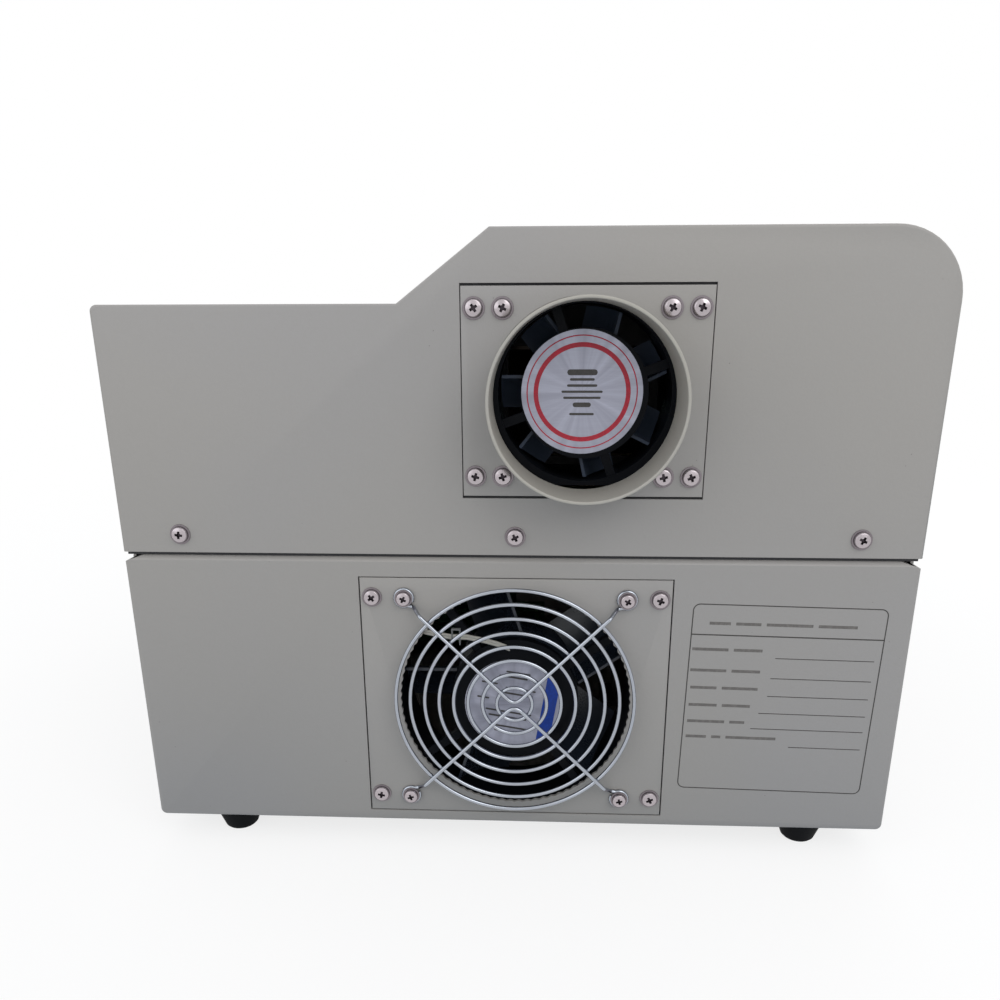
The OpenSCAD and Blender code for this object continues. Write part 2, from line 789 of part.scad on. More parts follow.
// Finger guard: rings behind two bent wires that end in loops under the screws
module wire_guard() color(steel) translate([0, half_d, co_z]) {
    r = guard_wire / 2;
    ring_y = 6;
    cross_y = ring_y + guard_wire - 0.3;
    bend_r = 5;
    bend_z = bend_r + 2;
    arm_end = 44.2;
    loop_r = head_r - 0.2;
    heel_r = head_r + 1.6;
    for (i = [0 : guard_rings - 1])
        translate([0, ring_y, 0]) rotate([90, 0, 0]) rotate_extrude()
            translate([guard_r0 + i * (guard_r1 - guard_r0) / (guard_rings - 1), 0]) circle(r, $fn = 24);
    for (e = [0, 1]) mirror([0, 0, e]) {
        translate([0, cross_y, bend_z]) rotate([90, 0, 0]) rotate([0, 0, 225])
            rotate_extrude(angle = 90) translate([bend_r, 0]) circle(r, $fn = 24);
        for (s = [0, 1]) mirror([s, 0, 0]) {
            t = bend_r * cos(45);
            from = [t, cross_y, bend_z - t];
            knee = [arm_end, cross_y, bend_z - 2 * t + arm_end];
            loop = [co_pitch / 2, r, co_pitch / 2];
            heel = loop + [-heel_r * cos(45), 0.1, -heel_r * cos(45)];
            toe = loop + [-loop_r * cos(45), 0, -loop_r * cos(45)];
            wire(from, knee, r);
            wire(knee, heel, r);
            wire(heel, toe, r - 0.04);
            for (bend = [knee, heel])
                translate(bend) sphere(r + 0.05);
            translate(loop) rotate([90, 0, 0]) rotate_extrude()
                translate([loop_r, 0]) circle(r, $fn = 24);
        }
    }
}

// A straight wire between two points
module wire(a, b, r) {
    d = b - a;
    length = norm(d);
    translate(a) rotate([0, acos(d[2] / length), atan2(d[1], d[0])]) cylinder(h = length, r = r);
}

// Thin steel liner of the heating chamber, open to the front
module chamber_liner() color(steel) difference() {
    span([-ch_x - liner, ch_x + liner], [ch_y0, ch_y1 + liner], [ch_z0 - liner, ch_z1 + liner]);
    span([-ch_x, ch_x], [ch_y0 - 1, ch_y1], [ch_z0, ch_z1]);
    span(about(ex_x, 2 * port_x), [ch_y1 - 1, ch_y1 + 2], [port_z0, port_z1]);
    for (x = heater_xs)
        translate([x, 0, heater_z]) y_rod(lead_hole_r, ch_y1 - 1, ch_y1 + 2);
    translate([probe_x, 0, probe_z]) y_rod(probe_r, ch_y1 - 1, ch_y1 + 2);
}

// Insulation round the liner
module chamber_insulation() color(wool) difference() {
    x = ch_x + liner;
    z0 = ch_z0 - liner;
    z1 = ch_z1 + liner;
    span([-x - insul, x + insul], [ch_y0, ch_back], [z0 - insul, z1 + insul]);
    span([-x, x], [ch_y0 - 1, ch_y1 + liner], [z0, z1]);
    span(about(ex_x, 2 * port_x), [ch_y1, ch_back + 1], [port_z0, port_z1]);
    for (h = heater_xs)
        translate([h, 0, heater_z]) y_rod(lead_hole_r, ch_y1, ch_back + 1);
    translate([probe_x, 0, probe_z]) y_rod(probe_r, ch_y1, ch_back + 1);
}

// Polished reflector above the tubes, hung from the liner's roof
module reflector() color([0.86, 0.86, 0.88]) {
    x = ch_x - reflector_inset[0];
    y0 = ch_y0 + reflector_inset[1];
    y1 = ch_y1 - reflector_inset[2];
    z = ch_z1 - reflector_drop;
    t = reflector_t;
    span([-x, x], [y0, y1], [z, z + t]);
    for (y = [y0, y1 - t])
        span([-x, x], [y, y + t], [z, ch_z1]);
    for (s = [-1, 1])
        span(sort2(s * x, s * (x - t)), [y0, y1], [z - reflector_lip, z + t]);
}

// Quartz tubes of the infrared heaters
module heater_tubes() color([0.93, 0.91, 0.86])
    for (x = heater_xs) translate([x, 0, heater_z]) difference() {
        y_rod(heater_d / 2, heater_y0, heater_y1);
        y_rod(heater_d / 2 - quartz_t, heater_y0 + 2, heater_y1 - 2);
    }

// Ceramic end caps with their terminal studs
module heater_caps() color(ceramic)
    for (x = heater_xs, e = [-1, 1]) {
        y = e < 0 ? heater_y0 : heater_y1;
        translate([x, y, heater_z]) mirror([0, e < 0 ? 1 : 0, 0]) difference() {
            union() {
                y_rod(cap_r, 2 - cap_l, cap_lap);
                y_rod(cap_neck_r, -eps, cap_lap + rail_t + cap_neck_l);
                y_rod(stud_r, cap_lap, cap_lap + rail_t + stud_l);
            }
            y_rod(heater_d / 2, 1 - cap_l, 0);
        }
    }

// Two rails that carry the caps, hung from the liner's roof
module heater_rails() color(steel)
    for (e = [-1, 1]) {
        y = e < 0 ? heater_y0 : heater_y1;
        translate([0, y, 0]) mirror([0, e < 0 ? 1 : 0, 0]) difference() {
            span([-ch_x, ch_x], [cap_lap, cap_lap + rail_t],
                 [heater_z - cap_r - rail_drop, heater_z + cap_r]);
            for (x = heater_xs)
                translate([x, 0, heater_z]) y_rod(cap_neck_r, cap_lap - 1, cap_lap + rail_t + 1);
        }
    }

// Temperature probe through the chamber's rear wall
module temperature_probe() color(zinc) translate([probe_x, 0, probe_z]) {
    y_rod(probe_r, ch_y1 - probe_in, ch_back + probe_tail);
    y_rod(probe_gland[0], ch_back, ch_back + probe_gland[1]);
    y_rod(probe_nut[0], ch_back + probe_gland[1] - 1, ch_back + probe_nut[1]);
}

// Drawer box: sides, rear wall, support flanges and inner door
module drawer_frame() color(steel) {
    in_x0 = dr_x - rack_flange;
    for (s = [-1, 1])
        span(sort2(s * dr_x, s * (dr_x - wall)), [dr_y0 - eps, dr_y1], [dr_z0, dr_z1]);
    rear_x = dr_x - wall - corner_seam;
    span([-rear_x, rear_x], [dr_y1 - wall, dr_y1], [dr_z0, dr_z1]);
    difference() {
        span([-dr_x, dr_x], [dr_y0 - wall, dr_y1], [dr_z0, dr_z0 + wall]);
        span([-in_x0, in_x0], [dr_y0 + rack_flange, dr_y1 - rack_flange], [dr_z0 - 1, dr_z0 + wall + 1]);
    }
    difference() {
        span([-dr_x, dr_x], [skin_back, dr_y0], [dr_z0, door_z1]);
        span([wall - dr_x, dr_x - wall], [skin_back - 1, dr_y0 - wall], [dr_z0 + wall, door_z1 - wall]);
        window_cut(dr_y0 - wall - 1, dr_y0 + 1);
    }
}

// The window's opening between two depths
module window_cut(y0, y1)
    translate([0, 0, window_z]) xz_plate(y0, y1) rounded(window_w, window_h, window_r);

// Outer pan of the drawer's front
module drawer_front() color(beige) difference() {
    pan_w = 2 * (open_x + door_lap);
    pan_h = open_z1 - open_z0 + 2 * door_lap;
    pan_z = (open_z0 + open_z1) / 2;
    translate([0, 0, pan_z]) xz_plate(door_y, door_y + door_t) rounded(pan_w, pan_h, pan_r);
    translate([0, 0, pan_z]) xz_plate(skin_back, door_y + door_t + 1)
        rounded(pan_w - 2 * wall, pan_h - 2 * wall, pan_r - wall);
    window_cut(door_y - 1, skin_back + 1);
    for (s = [-1, 1])
        translate([s * post_x, 0, handle_z]) y_rod(hole_r, door_y - 1, skin_back + 1);
}

// Two panes of the window
module window_glass() color([0.55, 0.60, 0.62])
    for (y = [skin_back, dr_y0 - wall - glass_t])
        translate([0, 0, window_z]) xz_plate(y, y + glass_t)
            rounded(window_w + 2 * glass_lap, window_h + 2 * glass_lap, window_r + 1);

module window_bezel() color(black) difference() {
    translate([0, 0, window_z]) xz_plate(door_y - bezel_t, door_y)
        rounded(window_w + 2 * bezel_w, window_h + 2 * bezel_w, 2 * window_r);
    window_cut(door_y - bezel_t - 1, door_y + 1);
}

// Bar handle with rounded ends on two posts
module drawer_handle() color(steel) {
    translate([-handle_w / 2, handle_y, handle_z]) rotate([0, 90, 0]) rotate_extrude()
        difference() {
            square([handle_r, handle_w]);
            for (e = [0, 1])
                translate([0, e * handle_w]) mirror([0, 1 - e])
                    translate([handle_r, 0]) corner_waste(handle_end);
        }
    for (s = [-1, 1])
        translate([s * post_x, 0, handle_z]) {
            y_rod(post_r, handle_y, door_y);
            y_rod(screw_r, door_y - eps, door_y + post_nut[2]);
            y_rod(post_nut[0], skin_back, skin_back + post_nut[1]);
        }
}

// Wire rack that carries the boards
module tray_rack() color(steel) {
    x = dr_x - wall - rack_clear[0];
    y0 = dr_y0 + rack_clear[1];
    y1 = dr_y1 - wall - rack_clear[1];
    z = dr_z0 + wall + rack_rim_r;
    r = rack_rim_r;
    for (s = [-1, 1])
        translate([s * (x - r), 0, z]) y_rod(r, y0, y1);
    for (y = [y0 + r, y1 - r])
        translate([0, y, z]) x_rod(r, -x + r, x - r);
    for (i = [1 : rack_rods])
        translate([(2 * i / (rack_rods + 1) - 1) * (x - r), 0, z]) y_rod(rack_rod_r, y0 + r, y1 - r);
}

// Heat-proof seal on the back of the drawer's front
module door_seal() color([0.30, 0.30, 0.31]) difference() {
    x = open_x + seal_side + seal_w;
    z0 = open_z0 - seal_side - seal_w;
    z1 = open_z1 + seal_side + seal_w;
    y1 = -half_d - seal_clear;
    span([-x, x], [skin_back, y1], [z0, z1]);
    span([seal_w - x, x - seal_w], [skin_back - 1, y1 + 1], [z0 + seal_w, z1 - seal_w]);
}

// A channel of a slide: web near x = web, flanges running to x = tip
module channel(side, web, tip, half) {
    dir = tip < web ? -1 : 1;
    far = side * tip;
    near = side * web;
    span(sort2(near, near + side * dir * channel_t), [slide_y0, slide_y1], about(slide_z, 2 * half));
    for (s = [-1, 1])
        span(sort2(near, far), [slide_y0, slide_y1],
             about(slide_z + s * (half - channel_t / 2), channel_t));
}

// Rows of steel balls between two channels
module balls(side, x, half, y_first, y_step)
    for (s = [-1, 1], i = [0 : ball_count - 1])
        translate([side * x, y_first + i * y_step, slide_z + s * (half + ball_room / 2)])
            sphere(ball_r, $fn = 32);

module slide_fixed(side) color(zinc) channel(side, ch_x, ch_x - fixed_w, fixed_half);

module slide_middle(side) color(zinc) {
    length = slide_y1 - slide_y0;
    step = (length / 2 - 2 * ball_end) / (ball_count - 1);
    channel(side, ch_x - middle_xs[0], ch_x - middle_xs[1], middle_half);
    balls(side, ch_x - outer_ball_x, middle_half, slide_y1 - ball_end - (ball_count - 1) * step, step);
    balls(side, ch_x - inner_ball_x, inner_half, slide_y0 + ball_end, step);
}

module slide_inner(side) color(zinc) channel(side, dr_x, ch_x - inner_tip, inner_half);

module slide_fixed_left() slide_fixed(-1);
module slide_fixed_right() slide_fixed(1);
module slide_middle_left() slide_middle(-1);
module slide_middle_right() slide_middle(1);
module slide_inner_left() slide_inner(-1);
module slide_inner_right() slide_inner(1);

// Plastic control panel on the lower casing's front
module control_panel() color([0.20, 0.21, 0.23]) difference() {
    translate([0, 0, panel_z]) xz_plate(panel_face, -half_d) rounded(panel_w, panel_h, panel_r);
    translate([display_x, 0, panel_z]) xz_plate(panel_face - 1, -half_d + 1)
        square([display_w, display_h], center = true);
    for (i = [0 : key_count - 1])
        translate([key_x0 + i * key_pitch, 0, panel_z]) xz_plate(panel_face - 1, -half_d + 1)
            rounded(key_w, key_w, key_r);
}

// Display glass, metal frame and circuit board
module display_module() color([0.55, 0.62, 0.55]) translate([display_x, 0, panel_z]) {
    size = [display_w, display_h];
    glass_back = -half_d + display_glass[1];
    frame_back = -half_d + display_frame[1];
    xz_plate(-half_d, glass_back) square(size + display_glass[0] * [1, 1], center = true);
    xz_plate(glass_back - eps, frame_back) square(size + display_frame[0] * [1, 1], center = true);
    xz_plate(frame_back - eps, -half_d + display_board[2])
        square(size + [display_board[0], display_board[1]], center = true);
}

// Key cap with a flange behind the panel
module key(i) color([0.85, 0.85, 0.83]) translate([key_x0 + (i - 1) * key_pitch, 0, panel_z]) {
    back = -half_d + key_gap;
    side = key_w - 2 * key_gap;
    xz_plate(panel_face - key_proud, back + eps) rounded(side, side, key_r - key_gap);
    xz_plate(back, back + key_flange[1]) square(key_w + key_flange[0], center = true);
    y_rod(key_stem[0], back + 1, back + key_stem[1]);
}

module key_1() key(1);
module key_2() key(2);
module key_3() key(3);
module key_4() key(4);
module key_5() key(5);

// Circuit board with one switch behind each key
module key_board() color(board_green) translate([0, 0, panel_z]) {
    y0 = -half_d + key_gap + key_stem[1] + key_travel + key_gap;
    y1 = y0 + switch_h;
    row = (key_count - 1) * key_pitch;
    for (i = [0 : key_count - 1])
        translate([key_x0 + i * key_pitch, 0, 0]) xz_plate(y0, y1 + eps) square(switch_side, center = true);
    translate([key_x0 + row / 2, 0, 0]) {
        xz_plate(y1, y1 + board_t) square([row + 2 * key_board_rim, key_board_h], center = true);
        for (s = [-1, 1])
            translate([s * (row / 2 + key_post[0]), 0, key_post[1]]) y_rod(key_post[2], -half_d, y1 + eps);
    }
}

// Mains inlet with a flange outside the wall
module mains_inlet() color(black) translate([half_w, inlet_y, mains_z]) rotate([90, 0, 90]) difference() {
    union() {
        linear_extrude(mains_flange_t) rounded(inlet_flange[0], inlet_flange[1], inlet_flange[2]);
        translate([0, 0, -inlet_depth]) linear_extrude(inlet_depth + eps)
            rounded(inlet_cut[0] - mains_fit, inlet_cut[1] - mains_fit, 2);
    }
    // Socket with the two cut corners on the earth pin's side
    translate([0, 0, -socket_depth]) linear_extrude(socket_depth + mains_flange_t + 1)
        polygon([
            [-socket_x[1], socket_z[0]], [socket_x[1], socket_z[0]],
            [socket_x[1], socket_z[1]], [socket_x[0], socket_z[2]],
            [-socket_x[0], socket_z[2]], [-socket_x[1], socket_z[1]]
        ]);
    pin_places() translate([0, 0, -inlet_depth - 1]) linear_extrude(inlet_depth - socket_depth + 2)
        square(pin_size, center = true);
}

module pin_places()
    for (i = [0 : 2])
        translate([pin_xs[i], pin_zs[i]]) children();

module inlet_pins() color([0.78, 0.70, 0.42]) translate([half_w, inlet_y, mains_z]) rotate([90, 0, 90])
    pin_places() translate([0, 0, -inlet_depth - pin_depth]) linear_extrude(pin_l)
        square(pin_size, center = true);

// Rocker switch: housing with a pivot pin
module switch_housing() color(black)
    translate([half_w, switch_y, mains_z]) rotate([90, 0, 90]) difference() {
    union() {
        linear_extrude(mains_flange_t) rounded(switch_flange[0], switch_flange[1], switch_flange[2]);
        translate([0, 0, -switch_depth]) linear_extrude(switch_depth + eps)
            rounded(switch_cut[0] - mains_fit, switch_cut[1] - mains_fit, 1.5);
    }
    translate([0, 0, -switch_well[2]]) linear_extrude(switch_depth)
        square([switch_well[0], switch_well[1]], center = true);
    translate([0, 0, -pin_depth]) rotate([0, 90, 0])
        cylinder(h = rocker_pin[1] + mains_fit, r = rocker_pin[0] + fan_axle_gap, center = true);
}

// Rocker that tips about a pin along y; it rests tilted to its off side
module switch_rocker() color([0.62, 0.08, 0.07]) translate([half_w - pin_depth, switch_y, mains_z]) {
    rotate([0, rocker_tilt, 0]) {
        y_rod(rocker_pin[0], -rocker_pin[1] / 2, rocker_pin[1] / 2);
        difference() {
            xz_plate(-rocker_w / 2, rocker_w / 2)
                polygon([[-1.5, -7], [-1.5, 7], [2, 7], [8.6, 6.2], [8.6, -6.2], [2, -7]]);
            translate([rocker_hollow[1], 0, 0])
                y_rod(rocker_hollow[0], -rocker_w / 2 - 1, rocker_w / 2 + 1);
        }
    }
}

function board_holes() = [for (x = [-1, 1], y = [-1, 1])
    board_c + [x * (board_size[0] / 2 - board_hole_in), y * (board_size[1] / 2 - board_hole_in)]];

// A block of a given size that stands on z around a centre
module block(c, size, z)
    span(about(c[0], size[0]), about(c[1], size[1]), [z, z + size[2]]);

// Control board on its four standoffs
module control_board() color(board_green) {
    z = floor_z + standoff_h;
    block(board_c, [board_size[0], board_size[1], board_t], z);
    top = z + board_t - eps;
    // Processor, two relays, capacitors and a row of plugs
    block(board_c, processor, top);
    for (i = [0 : 1])
        block(board_c + relay_c + [i * relay_pitch, 0], relay_size, top);
    for (i = [0 : 3])
        translate([board_c[0] + capacitor_c[0] + i * capacitor_pitch, board_c[1] + capacitor_c[1], top])
            cylinder(h = capacitor[1], r = capacitor[0]);
    for (i = [0 : 5])
        block(board_c + plug_c + [i * plug_pitch, 0], plug_size, top);
}

// Transformer: laminated core, coil and feet
module transformer() color([0.42, 0.40, 0.38]) {
    block(trafo_c, trafo_core, floor_z);
    block(trafo_c, trafo_coil, floor_z + trafo_core[2] / 2 + 1 - trafo_coil[2] / 2);
    block(trafo_c, [trafo_foot[0], trafo_core[1], trafo_foot[1]], floor_z);
}

// Finned aluminium block
module heat_sink() color([0.70, 0.71, 0.73]) {
    block(sink_c, [sink_size[0], sink_size[1], sink_plate_t], floor_z + fin_h);
    for (i = [0 : fins - 1])
        block(sink_c + [(i - (fins - 1) / 2) * fin_pitch, 0], [fin_t, sink_size[1], fin_h + eps], floor_z);
}

module solid_state_relay() color([0.86, 0.85, 0.82]) {
    z = floor_z + fin_h + sink_plate_t;
    block(sink_c, [ssr_size[0], ssr_size[1], ssr_h[0]], z);
    block(sink_c, [ssr_size[0], ssr_size[2], ssr_h[1] - ssr_h[0] + eps], z + ssr_h[0] - eps);
    for (x = [-1, 1], y = [-1, 1])
        translate([sink_c[0] + x * ssr_stud[2] / 2, sink_c[1] + y * ssr_stud[3] / 2, z + ssr_h[0] - eps])
            cylinder(h = ssr_stud[1], r = ssr_stud[0]);
}

module terminal_block() color([0.88, 0.87, 0.83]) difference() {
    first = (terminals - 1) / 2;
    block(terminal_c, terminal_size, floor_z);
    for (i = [0 : terminals - 1])
        translate([terminal_c[0] + (i - first) * terminal_pitch, terminal_c[1], floor_z + terminal_cut[1]])
            cylinder(h = terminal_size[2], r = terminal_cut[0]);
    for (i = [1 : terminals - 1])
        block(terminal_c + [(i - 0.5 - first) * terminal_pitch, 0],
              [terminal_cut[2], terminal_size[1] + 2, terminal_size[2]], floor_z + terminal_cut[3]);
}

base_casing();
deck_plate();
cover();
foot_front_left();
foot_front_right();
foot_rear_left();
foot_rear_right();
foot_screws();
panel_screws();
exhaust_plate();
exhaust_collar();
exhaust_bracket();
exhaust_duct();
exhaust_fan_frame();
exhaust_fan_rotor();
exhaust_fan_screws();
cooling_plate();
cooling_bracket();
cooling_fan_frame();
cooling_fan_rotor();
wire_guard();
cooling_fan_screws();
fan_nuts();
chamber_liner();
chamber_insulation();
reflector();
heater_tubes();
heater_caps();
heater_rails();
temperature_probe();
drawer_frame();
drawer_front();
window_glass();
window_bezel();
drawer_handle();
tray_rack();
door_seal();
slide_fixed_left();
slide_fixed_right();
slide_middle_left();
slide_middle_right();
slide_inner_left();
slide_inner_right();
control_panel();
display_module();
key_1();
key_2();
key_3();
key_4();
key_5();
key_board();
mains_inlet();
inlet_pins();
switch_housing();
switch_rocker();
control_board();
transformer();
heat_sink();
solid_state_relay();
terminal_block();
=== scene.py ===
import json
import math

import bmesh
import bpy
from bpy.props import FloatProperty, FloatVectorProperty, IntProperty, PointerProperty
from mathutils import Matrix, Vector


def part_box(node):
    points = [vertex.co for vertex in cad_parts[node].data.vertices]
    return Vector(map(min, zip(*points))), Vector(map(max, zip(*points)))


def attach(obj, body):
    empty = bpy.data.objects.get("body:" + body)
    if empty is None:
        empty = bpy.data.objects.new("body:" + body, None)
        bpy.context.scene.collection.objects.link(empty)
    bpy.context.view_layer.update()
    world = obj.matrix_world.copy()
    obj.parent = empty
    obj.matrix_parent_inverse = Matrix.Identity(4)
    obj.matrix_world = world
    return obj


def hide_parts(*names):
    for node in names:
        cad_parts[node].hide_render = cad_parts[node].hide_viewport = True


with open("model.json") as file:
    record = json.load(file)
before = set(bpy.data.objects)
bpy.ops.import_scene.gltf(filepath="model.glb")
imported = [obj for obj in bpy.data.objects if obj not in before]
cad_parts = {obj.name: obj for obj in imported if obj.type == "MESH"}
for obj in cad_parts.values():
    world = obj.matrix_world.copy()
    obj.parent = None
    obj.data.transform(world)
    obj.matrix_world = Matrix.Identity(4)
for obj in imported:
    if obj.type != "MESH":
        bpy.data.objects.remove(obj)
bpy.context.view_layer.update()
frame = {"nodes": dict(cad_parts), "record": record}

bl_info = {
    "name": "Infrared reflow oven",
    "version": (1, 0, 0),
    "blender": (4, 5, 0),
    "location": "3D View > Sidebar > Oven",
    "description": "Dresses the packed model of a bench reflow oven and sets its stage",
    "category": "Object",
}

MM = 0.001
TURN = 2 * math.pi
SAME_VERTEX = 1e-6       # vertices this close are one
NEAR = 2e-5              # two places this close are one
HEAD_HEIGHT = 0.0026     # of a screw over its seat
SCREW_SHARP = 32         # degrees between a screw's faces from which an edge is sharp
PRINT = 0.00006          # thickness of printed ink


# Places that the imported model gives

def box(node):
    """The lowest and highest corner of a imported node."""
    low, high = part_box(node)
    return Vector(low), Vector(high)


def centre(node):
    low, high = box(node)
    return (low + high) / 2


def loose_boxes(node):
    """The box of each separate solid in a node's mesh, in a steady order."""
    bm = bmesh.new()
    bm.from_mesh(frame["nodes"][node].data)
    bmesh.ops.remove_doubles(bm, verts=bm.verts, dist=SAME_VERTEX)
    seen, found = set(), []
    for start in bm.verts:
        if start in seen:
            continue
        seen.add(start)
        group = [start]
        for vert in group:           # the group grows while it is walked
            for edge in vert.link_edges:
                other = edge.other_vert(vert)
                if other not in seen:
                    seen.add(other)
                    group.append(other)
        found.append([Vector([pick(vert.co[i] for vert in group) for i in range(3)])
                      for pick in (min, max)])
    bm.free()
    return sorted(found, key=lambda b: tuple(round(c, 4) for c in b[0]))


CASE_LOW, CASE_HIGH = box("base_casing")
REAR = CASE_HIGH.y
EX_FAN = centre("exhaust_fan_frame")
CO_FAN = centre("cooling_fan_frame")
EX_FACE = box("exhaust_fan_frame")[1].y
CO_FACE = box("cooling_fan_frame")[1].y
UPPER_LABEL = EX_FAN + Vector((0.0011, 0, 0.0007))       # the middle of each round label
LOWER_LABEL = CO_FAN + Vector((0.001, 0, -0.0026))


# Node trees

def maths(operation, swapped=False):
    """An operator of Wire that adds a Math node; swapped is its reflected form."""
    def method(self, other=0.0):
        first, second = (other, self) if swapped else (self, other)
        return self.tree.node("ShaderNodeMath", {"operation": operation}, {0: first, 1: second})
    return method


class Wire:
    """A socket in a node tree; its operators add Math nodes."""

    def __init__(self, tree, socket):
        self.tree = tree
        self.socket = socket

    __add__, __radd__ = maths("ADD"), maths("ADD", True)
    __sub__, __rsub__ = maths("SUBTRACT"), maths("SUBTRACT", True)
    __mul__, __rmul__ = maths("MULTIPLY"), maths("MULTIPLY", True)
    __truediv__, __rtruediv__ = maths("DIVIDE"), maths("DIVIDE", True)
    __gt__, __lt__ = maths("GREATER_THAN"), maths("LESS_THAN")
    __mod__, __abs__ = maths("FLOORED_MODULO"), maths("ABSOLUTE")
    most, least = maths("MAXIMUM"), maths("MINIMUM")


class Tree:
    """A node tree and the one method that adds a node to it."""

    def __init__(self, node_tree):
        self.tree = node_tree

    @staticmethod
    def pick(sockets, key):
        if isinstance(key, int):
            return sockets[key]
        for socket in sockets:
            if socket.identifier == key:
                return socket
        return sockets[key]

    def node(self, kind, settings=None, values=None, out=0):
        """Adds a node: its type, its settings, its sockets' values or links, and its output.

        A list links several wires to one socket."""
        node = self.tree.nodes.new(kind)
        for key, value in (settings or {}).items():
            setattr(node, key, value)
        for key, value in (values or {}).items():
            socket = self.pick(node.inputs, key)
            for item in value if isinstance(value, list) else [value]:
                if isinstance(item, Wire):
                    self.tree.links.new(item.socket, socket)
                else:
                    socket.default_value = item
        return Wire(self, self.pick(node.outputs, out)) if node.outputs else None

    def ramp(self, wire, low, high, to_low=0.0, to_high=1.0):
        return self.node("ShaderNodeMapRange", {"interpolation_type": "SMOOTHSTEP"},
                         {0: wire, 1: low, 2: high, 3: to_low, 4: to_high})

    def mix(self, mask, first, second):
        return self.node("ShaderNodeMix", {"data_type": "RGBA"},
                         {"Factor_Float": mask, "A_Color": first, "B_Color": second},
                         out="Result_Color")

    def blend(self, factor, first, second):
        """One shader over another."""
        return self.node("ShaderNodeMixShader", None, {0: factor, 1: first, 2: second})


class Finish(Tree):
    """A material around one Principled shader."""

    def __init__(self, name, **uniform):
        self.material = bpy.data.materials.new(name)
        self.material.use_nodes = True
        super().__init__(self.material.node_tree)
        self.tree.nodes.clear()
        shader = self.node("ShaderNodeBsdfPrincipled")
        self.shader = shader.socket.node
        self.node("ShaderNodeOutputMaterial", None, {0: shader})
        for key, value in uniform.items():
            self.shader.inputs[key.replace("_", " ")].default_value = value
        self.at = self.node("ShaderNodeTexCoord", out="Object")

    def skin(self, tone, rough, height=None, depth=0.0, strength=1.0, **others):
        """Wires the colour, the roughness and the bump, and gives the material."""
        wires = dict(others, Base_Color=tone, Roughness=rough)
        if height:
            wires["Normal"] = self.node(
                "ShaderNodeBump", None,
                {"Strength": strength, "Distance": depth, "Height": height}, out="Normal")
        for key, wire in wires.items():
            self.tree.links.new(wire.socket, self.shader.inputs[key.replace("_", " ")])
        return self.material

    def placed(self, move=(0, 0, 0), turn=(0, 0, 0), scale=(1, 1, 1)):
        return self.node("ShaderNodeMapping", {"vector_type": "POINT"},
                         {"Vector": self.at, "Location": move, "Rotation": turn, "Scale": scale})

    def axis(self, name):
        return self.node("ShaderNodeSeparateXYZ", None, {0: self.at}, out=name)

    def noise(self, scale, detail=2.0, rough=0.5, vector=None):
        return self.node("ShaderNodeTexNoise", None,
                         {"Vector": vector or self.at, "Scale": scale, "Detail": detail,
                          "Roughness": rough}, out=0)

    def streaks(self, scale, detail=3.0, rough=0.6, turn=(0, 0, 0)):
        """Noise with its own scale on each axis."""
        return self.noise(1, detail, rough, self.placed(turn=turn, scale=scale))

    def cells(self, scale, out="Distance"):
        return self.node("ShaderNodeTexVoronoi", None, {"Vector": self.at, "Scale": scale},
                         out=out)

    def around(self, mask, level, spread):
        """A value that the mask moves by the spread below and above a level."""
        return self.ramp(mask, 0.3, 0.7, level - spread, level + spread)

    def stripes(self, count, low, high):
        """0 in the middle of each whole step of the count, 1 at its ends."""
        return self.ramp(abs(count % 1.0 - 0.5), low, high)

    def tones(self, colour, mask, low=0.9, high=1.1):
        """The colour, from low to high times as bright, by the mask."""
        return self.mix(mask, shade(colour, low), shade(colour, high))


def tinted(colour, tint):
    return tuple(min(1.0, c * t) for c, t in zip(colour, tint)) + (1.0,)


def shade(colour, times):
    return tuple(min(1.0, c * times) for c in colour[:3]) + (1.0,)


def linear(red, green, blue):
    """A colour given in the usual 0 to 255 values."""
    def channel(value):
        value /= 255
        return value / 12.92 if value <= 0.04045 else ((value + 0.055) / 1.055) ** 2.4
    return channel(red), channel(green), channel(blue), 1.0


# Finishes

def powder_coat(name, colour, peel=750.0):
    """Sprayed and baked paint: a fine peel, faint clouds and a little rubbed gloss."""
    f = Finish(name, Specular_IOR_Level=0.42)
    clouds = f.noise(6, 3, 0.55)
    cool = f.ramp(f.noise(4, 2, 0.5, f.placed(move=(3.1, 0.4, 1.7))), 0.4, 0.62)
    grain = f.noise(peel, 2, 0.6)
    specks = f.ramp(f.cells(150), 0.02, 0.05, 1.0, 0.0) * f.ramp(f.noise(34, 1), 0.58, 0.6)
    tone = f.tones(colour, clouds, 0.965, 1.035)
    tone = f.mix(cool * 0.5, tone, tinted(colour, (0.97, 0.99, 1.06)))
    tone = f.mix(f.ramp(grain, 0.35, 0.65) * 0.2, tone, shade(colour, 0.95))
    tone = f.mix(specks * 0.6, tone, shade(colour, 0.35))
    return f.skin(tone, f.around(clouds, 0.52, 0.06),
                  grain * 0.8 + f.noise(peel / 4, 1) * 0.5, 0.00006)


def zinc_sheet(name, colour):
    """Galvanised sheet with its crystal spangle."""
    f = Finish(name, Metallic=1.0)
    spangle = f.node("ShaderNodeSeparateColor", None, {0: f.cells(110, "Color")}, out=0)
    smear = f.noise(25, 3)
    tone = f.mix(smear * 0.3, f.tones(colour, spangle, 0.86, 1.08), shade(colour, 0.75))
    return f.skin(tone, spangle * 0.18 + f.around(smear, 0.36, 0.06), f.noise(500, 2), 0.00005)


DRAWN_ON_Y = (900, 12, 900)      # scales of the noise that draws a metal's fine lines
DRAWN_ON_X = (12, 900, 900)


def scorched_and_shaded(f, tone, start):
    """The tone, turned near-black brown from 10 mm past start on Y, by the hot outlet: partly heat
    tint and partly painted shade of the chamber's dark inside.
    """
    return tone if start is None else f.mix(f.ramp(f.axis("Y"), start, start + 0.01), tone,
                                            linear(19, 16, 14))


